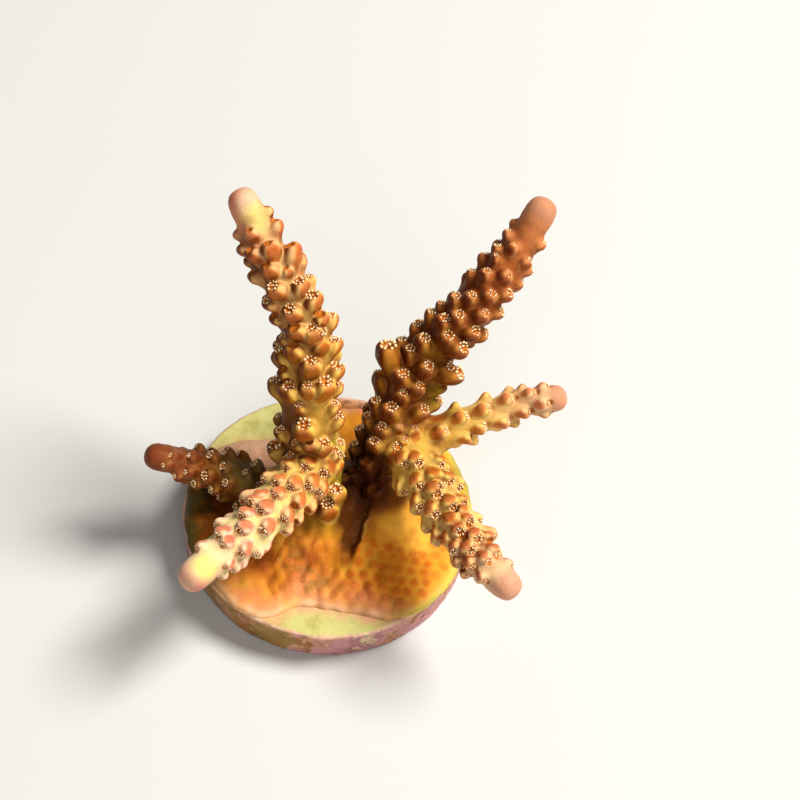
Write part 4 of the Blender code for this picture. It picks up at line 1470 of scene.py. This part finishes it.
def tissue_material():
    s = Shader("coral_tissue")
    mottle = s.noise(1.3, 3, 0.55)
    fine = s.noise(0.22, 2, 0.6, shift=0.013)
    colour = s.mix(s.attr("plate"), branch_colour(s, mottle), plate_colour(s))
    # grains, fine ribs along the branches, thin pale crests, green growth
    turn = s.math("ADD", s.math("MULTIPLY", s.math("ARCTAN2", s.attr("riby"), s.attr("ribx")), 40.0), s.math("MULTIPLY", s.noise(0.55, 2, 0.5), 12.0))
    ribs = s.math("SINE", turn)
    on_branch = s.math("SUBTRACT", 1.0, s.math("MULTIPLY", s.attr("plate"), 3.0), True)
    on_branch = s.math("MULTIPLY", on_branch, s.math("SUBTRACT", 1.0, s.attr("tip")))
    on_branch = s.math("MULTIPLY", on_branch, s.span(s.attr("tone"), 0.6, 0.95, 1.0, 0.25))
    colour = s.mix(s.math("MULTIPLY", s.span(ribs, 0.1, 1.0, 0.0, 0.12), on_branch), colour, srgb(120, 62, 18), "MULTIPLY")
    colour = s.mix(s.span(fine, 0.35, 0.75, 0.0, 0.30), colour, srgb(250, 222, 150), "SOFT_LIGHT")
    colour = s.mix(s.span(s.cells(0.16), 0.0, 0.55, 0.16, 0.0), colour, srgb(130, 66, 20), "MULTIPLY")
    colour = s.mix(s.math("MULTIPLY", s.attr("crest"), 0.30), colour, srgb(248, 214, 160))
    green = s.math("MULTIPLY", s.attr("green"), s.span(s.noise(0.9, 3, 0.6, shift=0.031), 0.32, 0.58, 0.3, 1.0))
    colour = s.mix(green, colour, s.mix(s.span(mottle, 0.4, 0.6), srgb(144, 150, 30), srgb(200, 186, 46)))
    # painted shadow in the fold between the trunks and on the right trunk's foot
    colour = s.mix(s.math("MULTIPLY", s.attr("fold_shadow"), 0.94), colour, srgb(70, 17, 2))
    # painted shade: darker, redder colour in the hollows and where the skin is closed in
    colour = s.mix(s.math("MULTIPLY", s.math("MULTIPLY", s.attr("hollow_shade"), 0.30), s.math("SUBTRACT", 1.0, s.attr("ring"))), colour, srgb(170, 84, 22), "MULTIPLY")
    colour = s.mix(s.math("MULTIPLY", s.attr("shade"), 0.70), colour, srgb(136, 58, 14), "MULTIPLY")
    # painted shade on the sides turned away from the key light
    colour = s.mix(s.math("MULTIPLY", s.attr("side_shade"), 0.9), colour, srgb(132, 74, 46), "MULTIPLY")
    # painted shade: the back-left tip's side away from the key light, redder
    colour = s.mix(s.math("MULTIPLY", s.attr("tip_side_shade"), 0.7), colour, srgb(204, 112, 82))
    colour = s.mix(s.math("MULTIPLY", s.attr("sage"), s.span(mottle, 0.3, 0.6, 0.35, 0.8)), colour, srgb(146, 138, 84))
    # painted shade: the redder branches, away from the plate, darkened further
    ruddy_shade = s.math("MULTIPLY", s.attr("ruddy"), s.math("SUBTRACT", 1.0, s.attr("plate")))
    colour = s.mix(s.math("MULTIPLY", ruddy_shade, 0.75), colour, srgb(206, 164, 112), "MULTIPLY")
    # darker and browner on the left: partly own colour, partly painted shadow
    colour = s.mix(s.math("MULTIPLY", s.attr("dun_and_shadow"), 0.8), colour, srgb(126, 100, 64), "MULTIPLY")
    open_pit = s.math("MULTIPLY", s.attr("pit"), s.math("SUBTRACT", 1.0, s.math("MULTIPLY", s.attr("fold_shadow"), 0.85)))
    colour = s.mix(open_pit, colour, s.ramp(fine, [(0.3, srgb(140, 68, 16)), (0.7, srgb(200, 116, 38))]))
    s.put(s.bsdf.inputs["Base Color"], colour)
    s.put(s.bsdf.inputs["Roughness"], s.span(s.noise(0.3, 2, 0.5, shift=0.02), 0.3, 0.7, 0.44, 0.62))
    grains = s.math("ADD", s.math("MULTIPLY", s.noise(0.16, 3, 0.6), 0.7), s.math("MULTIPLY", s.cells(0.19), 0.5))
    grains = s.math("ADD", grains, s.math("MULTIPLY", s.math("MULTIPLY", ribs, -0.16), on_branch))
    s.put(s.bsdf.inputs["Normal"], s.bump(grains, 0.40, 0.05))
    s.bsdf.inputs["Specular IOR Level"].default_value = 0.18
    s.bsdf.inputs["Specular Tint"].default_value = srgb(255, 214, 150)
    s.bsdf.inputs["Sheen Weight"].default_value = 0.10
    s.bsdf.inputs["Sheen Roughness"].default_value = 0.28
    s.bsdf.inputs["Sheen Tint"].default_value = srgb(255, 214, 140)
    return s.mat


def polyp_material():
    s = Shader("tentacles")
    colour = s.ramp(s.attr("reach"), [(0.0, srgb(120, 62, 18)), (0.45, srgb(216, 164, 92)), (0.80, srgb(252, 234, 196))])
    colour = s.mix(s.math("MULTIPLY", s.attr("vary"), 0.35), colour, srgb(226, 170, 90))
    s.put(s.bsdf.inputs["Base Color"], colour)
    s.put(s.bsdf.inputs["Roughness"], s.span(s.noise(0.1, 1, 0.5), 0.3, 0.7, 0.25, 0.4))
    s.bsdf.inputs["Specular IOR Level"].default_value = 0.5
    return s.mat


def disc_material():
    s = Shader("crusted_ceramic")
    top = s.ramp(s.noise(1.6, 4, 0.6), [(0.3, srgb(166, 158, 84)), (0.55, srgb(188, 184, 112)), (0.8, srgb(204, 202, 142))])
    top = s.mix(s.span(s.noise(0.35, 3, 0.6, shift=0.04), 0.55, 0.75, 0.0, 0.30), top, srgb(200, 172, 96))
    top = s.mix(s.math("MULTIPLY", s.attr("film"), s.span(s.noise(1.1, 3, 0.6, shift=0.06), 0.3, 0.65, 0.25, 0.8)), top, srgb(214, 152, 118))
    # encrusting algae in patches a few millimetres across
    side = s.ramp(
        s.noise(3.6, 3, 0.55, 0.5, shift=0.11),
        [
            (0.28, srgb(120, 84, 34)), (0.38, srgb(164, 100, 44)), (0.45, srgb(196, 138, 100)),
            (0.52, srgb(206, 142, 140)), (0.60, srgb(172, 112, 118)), (0.68, srgb(222, 190, 150)), (0.78, srgb(126, 104, 48)),
        ],
    )
    middle = s.noise(1.1, 4, 0.6, 0.3, shift=0.19)
    side = s.mix(s.span(middle, 0.56, 0.68, 0.0, 0.8), side, srgb(108, 66, 44))
    side = s.mix(s.span(middle, 0.42, 0.32, 0.0, 0.7), side, srgb(226, 186, 152))
    speck = s.noise(0.40, 3, 0.6, shift=0.17)
    side = s.mix(s.span(speck, 0.60, 0.74, 0.0, 0.8), side, srgb(234, 214, 180))
    side = s.mix(s.span(speck, 0.40, 0.28, 0.0, 0.8), side, srgb(88, 54, 34))
    side = s.mix(s.math("MULTIPLY", s.attr("lip"), s.span(middle, 0.35, 0.6, 0.3, 0.9)), side, srgb(232, 190, 160))
    side = s.mix(s.math("MULTIPLY", s.attr("olive"), s.span(middle, 0.30, 0.55, 0.25, 0.85)), side, srgb(150, 116, 44))
    side = s.mix(s.math("MULTIPLY", s.attr("mauve"), s.span(middle, 0.62, 0.42, 0.0, 0.75)), side, srgb(196, 130, 142))
    colour = s.mix(s.attr("ontop"), side, top)
    s.put(s.bsdf.inputs["Base Color"], colour)
    s.put(s.bsdf.inputs["Roughness"], s.span(s.noise(0.6, 3, 0.5), 0.3, 0.7, 0.6, 0.85))
    s.put(s.bsdf.inputs["Normal"], s.bump(s.noise(0.3, 4, 0.65), 0.5, 0.10))
    return s.mat


tissue, tentacle, ceramic = tissue_material(), polyp_material(), disc_material()
for node, obj in coral.items():
    obj.data.materials.append(tissue)
    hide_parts(node)
    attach(obj, "root")
for obj in crowns.values():
    obj.data.materials.append(tentacle)
    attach(obj, "root")
disc.data.materials.append(ceramic)
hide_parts("frag_disc")
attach(disc, "root")

# ---------------------------------------------------------------- floor, light, camera
half = 0.6
floor_mesh = bpy.data.meshes.new("floor")
floor_mesh.from_pydata([(-half, -half, 0), (half, -half, 0), (half, half, 0), (-half, half, 0)], [], [(0, 1, 2, 3)])
floor = bpy.data.objects.new("floor", floor_mesh)
bpy.context.scene.collection.objects.link(floor)
paper = Shader("paper")
paper.put(paper.bsdf.inputs["Base Color"], (0.58, 0.59, 0.60, 1))
paper.bsdf.inputs["Roughness"].default_value = 0.9
floor_mesh.materials.append(paper.mat)


def softbox(name, place, aim, size, power, colour):
    data = bpy.data.lights.new(name, "AREA")
    data.shape, data.size, data.energy, data.color = "DISK", size, power, colour
    obj = bpy.data.objects.new(name, data)
    obj.location = place
    obj.rotation_euler = (Vector(aim) - Vector(place)).to_track_quat("-Z", "Y").to_euler()
    bpy.context.scene.collection.objects.link(obj)
    return obj


softbox("key", (0.310, 0.090, 0.510), (0.002, 0, 0.012), 0.26, 5.9, (1.0, 0.955, 0.86))
softbox("fill", (0.06, -0.38, 0.40), (0, 0, 0.012), 0.45, 1.20, (1.0, 0.965, 0.90))

world = bpy.data.worlds.new("studio")
world.use_nodes = True
world.node_tree.nodes["Background"].inputs[0].default_value = (1.0, 0.97, 0.93, 1)
world.node_tree.nodes["Background"].inputs[1].default_value = 0.075
bpy.context.scene.world = world

lens = bpy.data.cameras.new("view")
lens.sensor_width = 36
lens.lens = FOCAL * 36 / 800
lens.clip_start, lens.clip_end = 0.005, 5
camera = bpy.data.objects.new("view", lens)
pose = Matrix.Identity(4)
for k, column in enumerate((cam_x, cam_y, to_camera)):
    for row in range(3):
        pose[row][k] = column[row]
for row in range(3):
    pose[row][3] = cam_at[row] * MM
camera.matrix_world = pose
bpy.context.scene.collection.objects.link(camera)
bpy.context.scene.camera = camera
bpy.context.scene.view_settings.view_transform = "Standard"
bpy.context.scene.view_settings.look = "None"
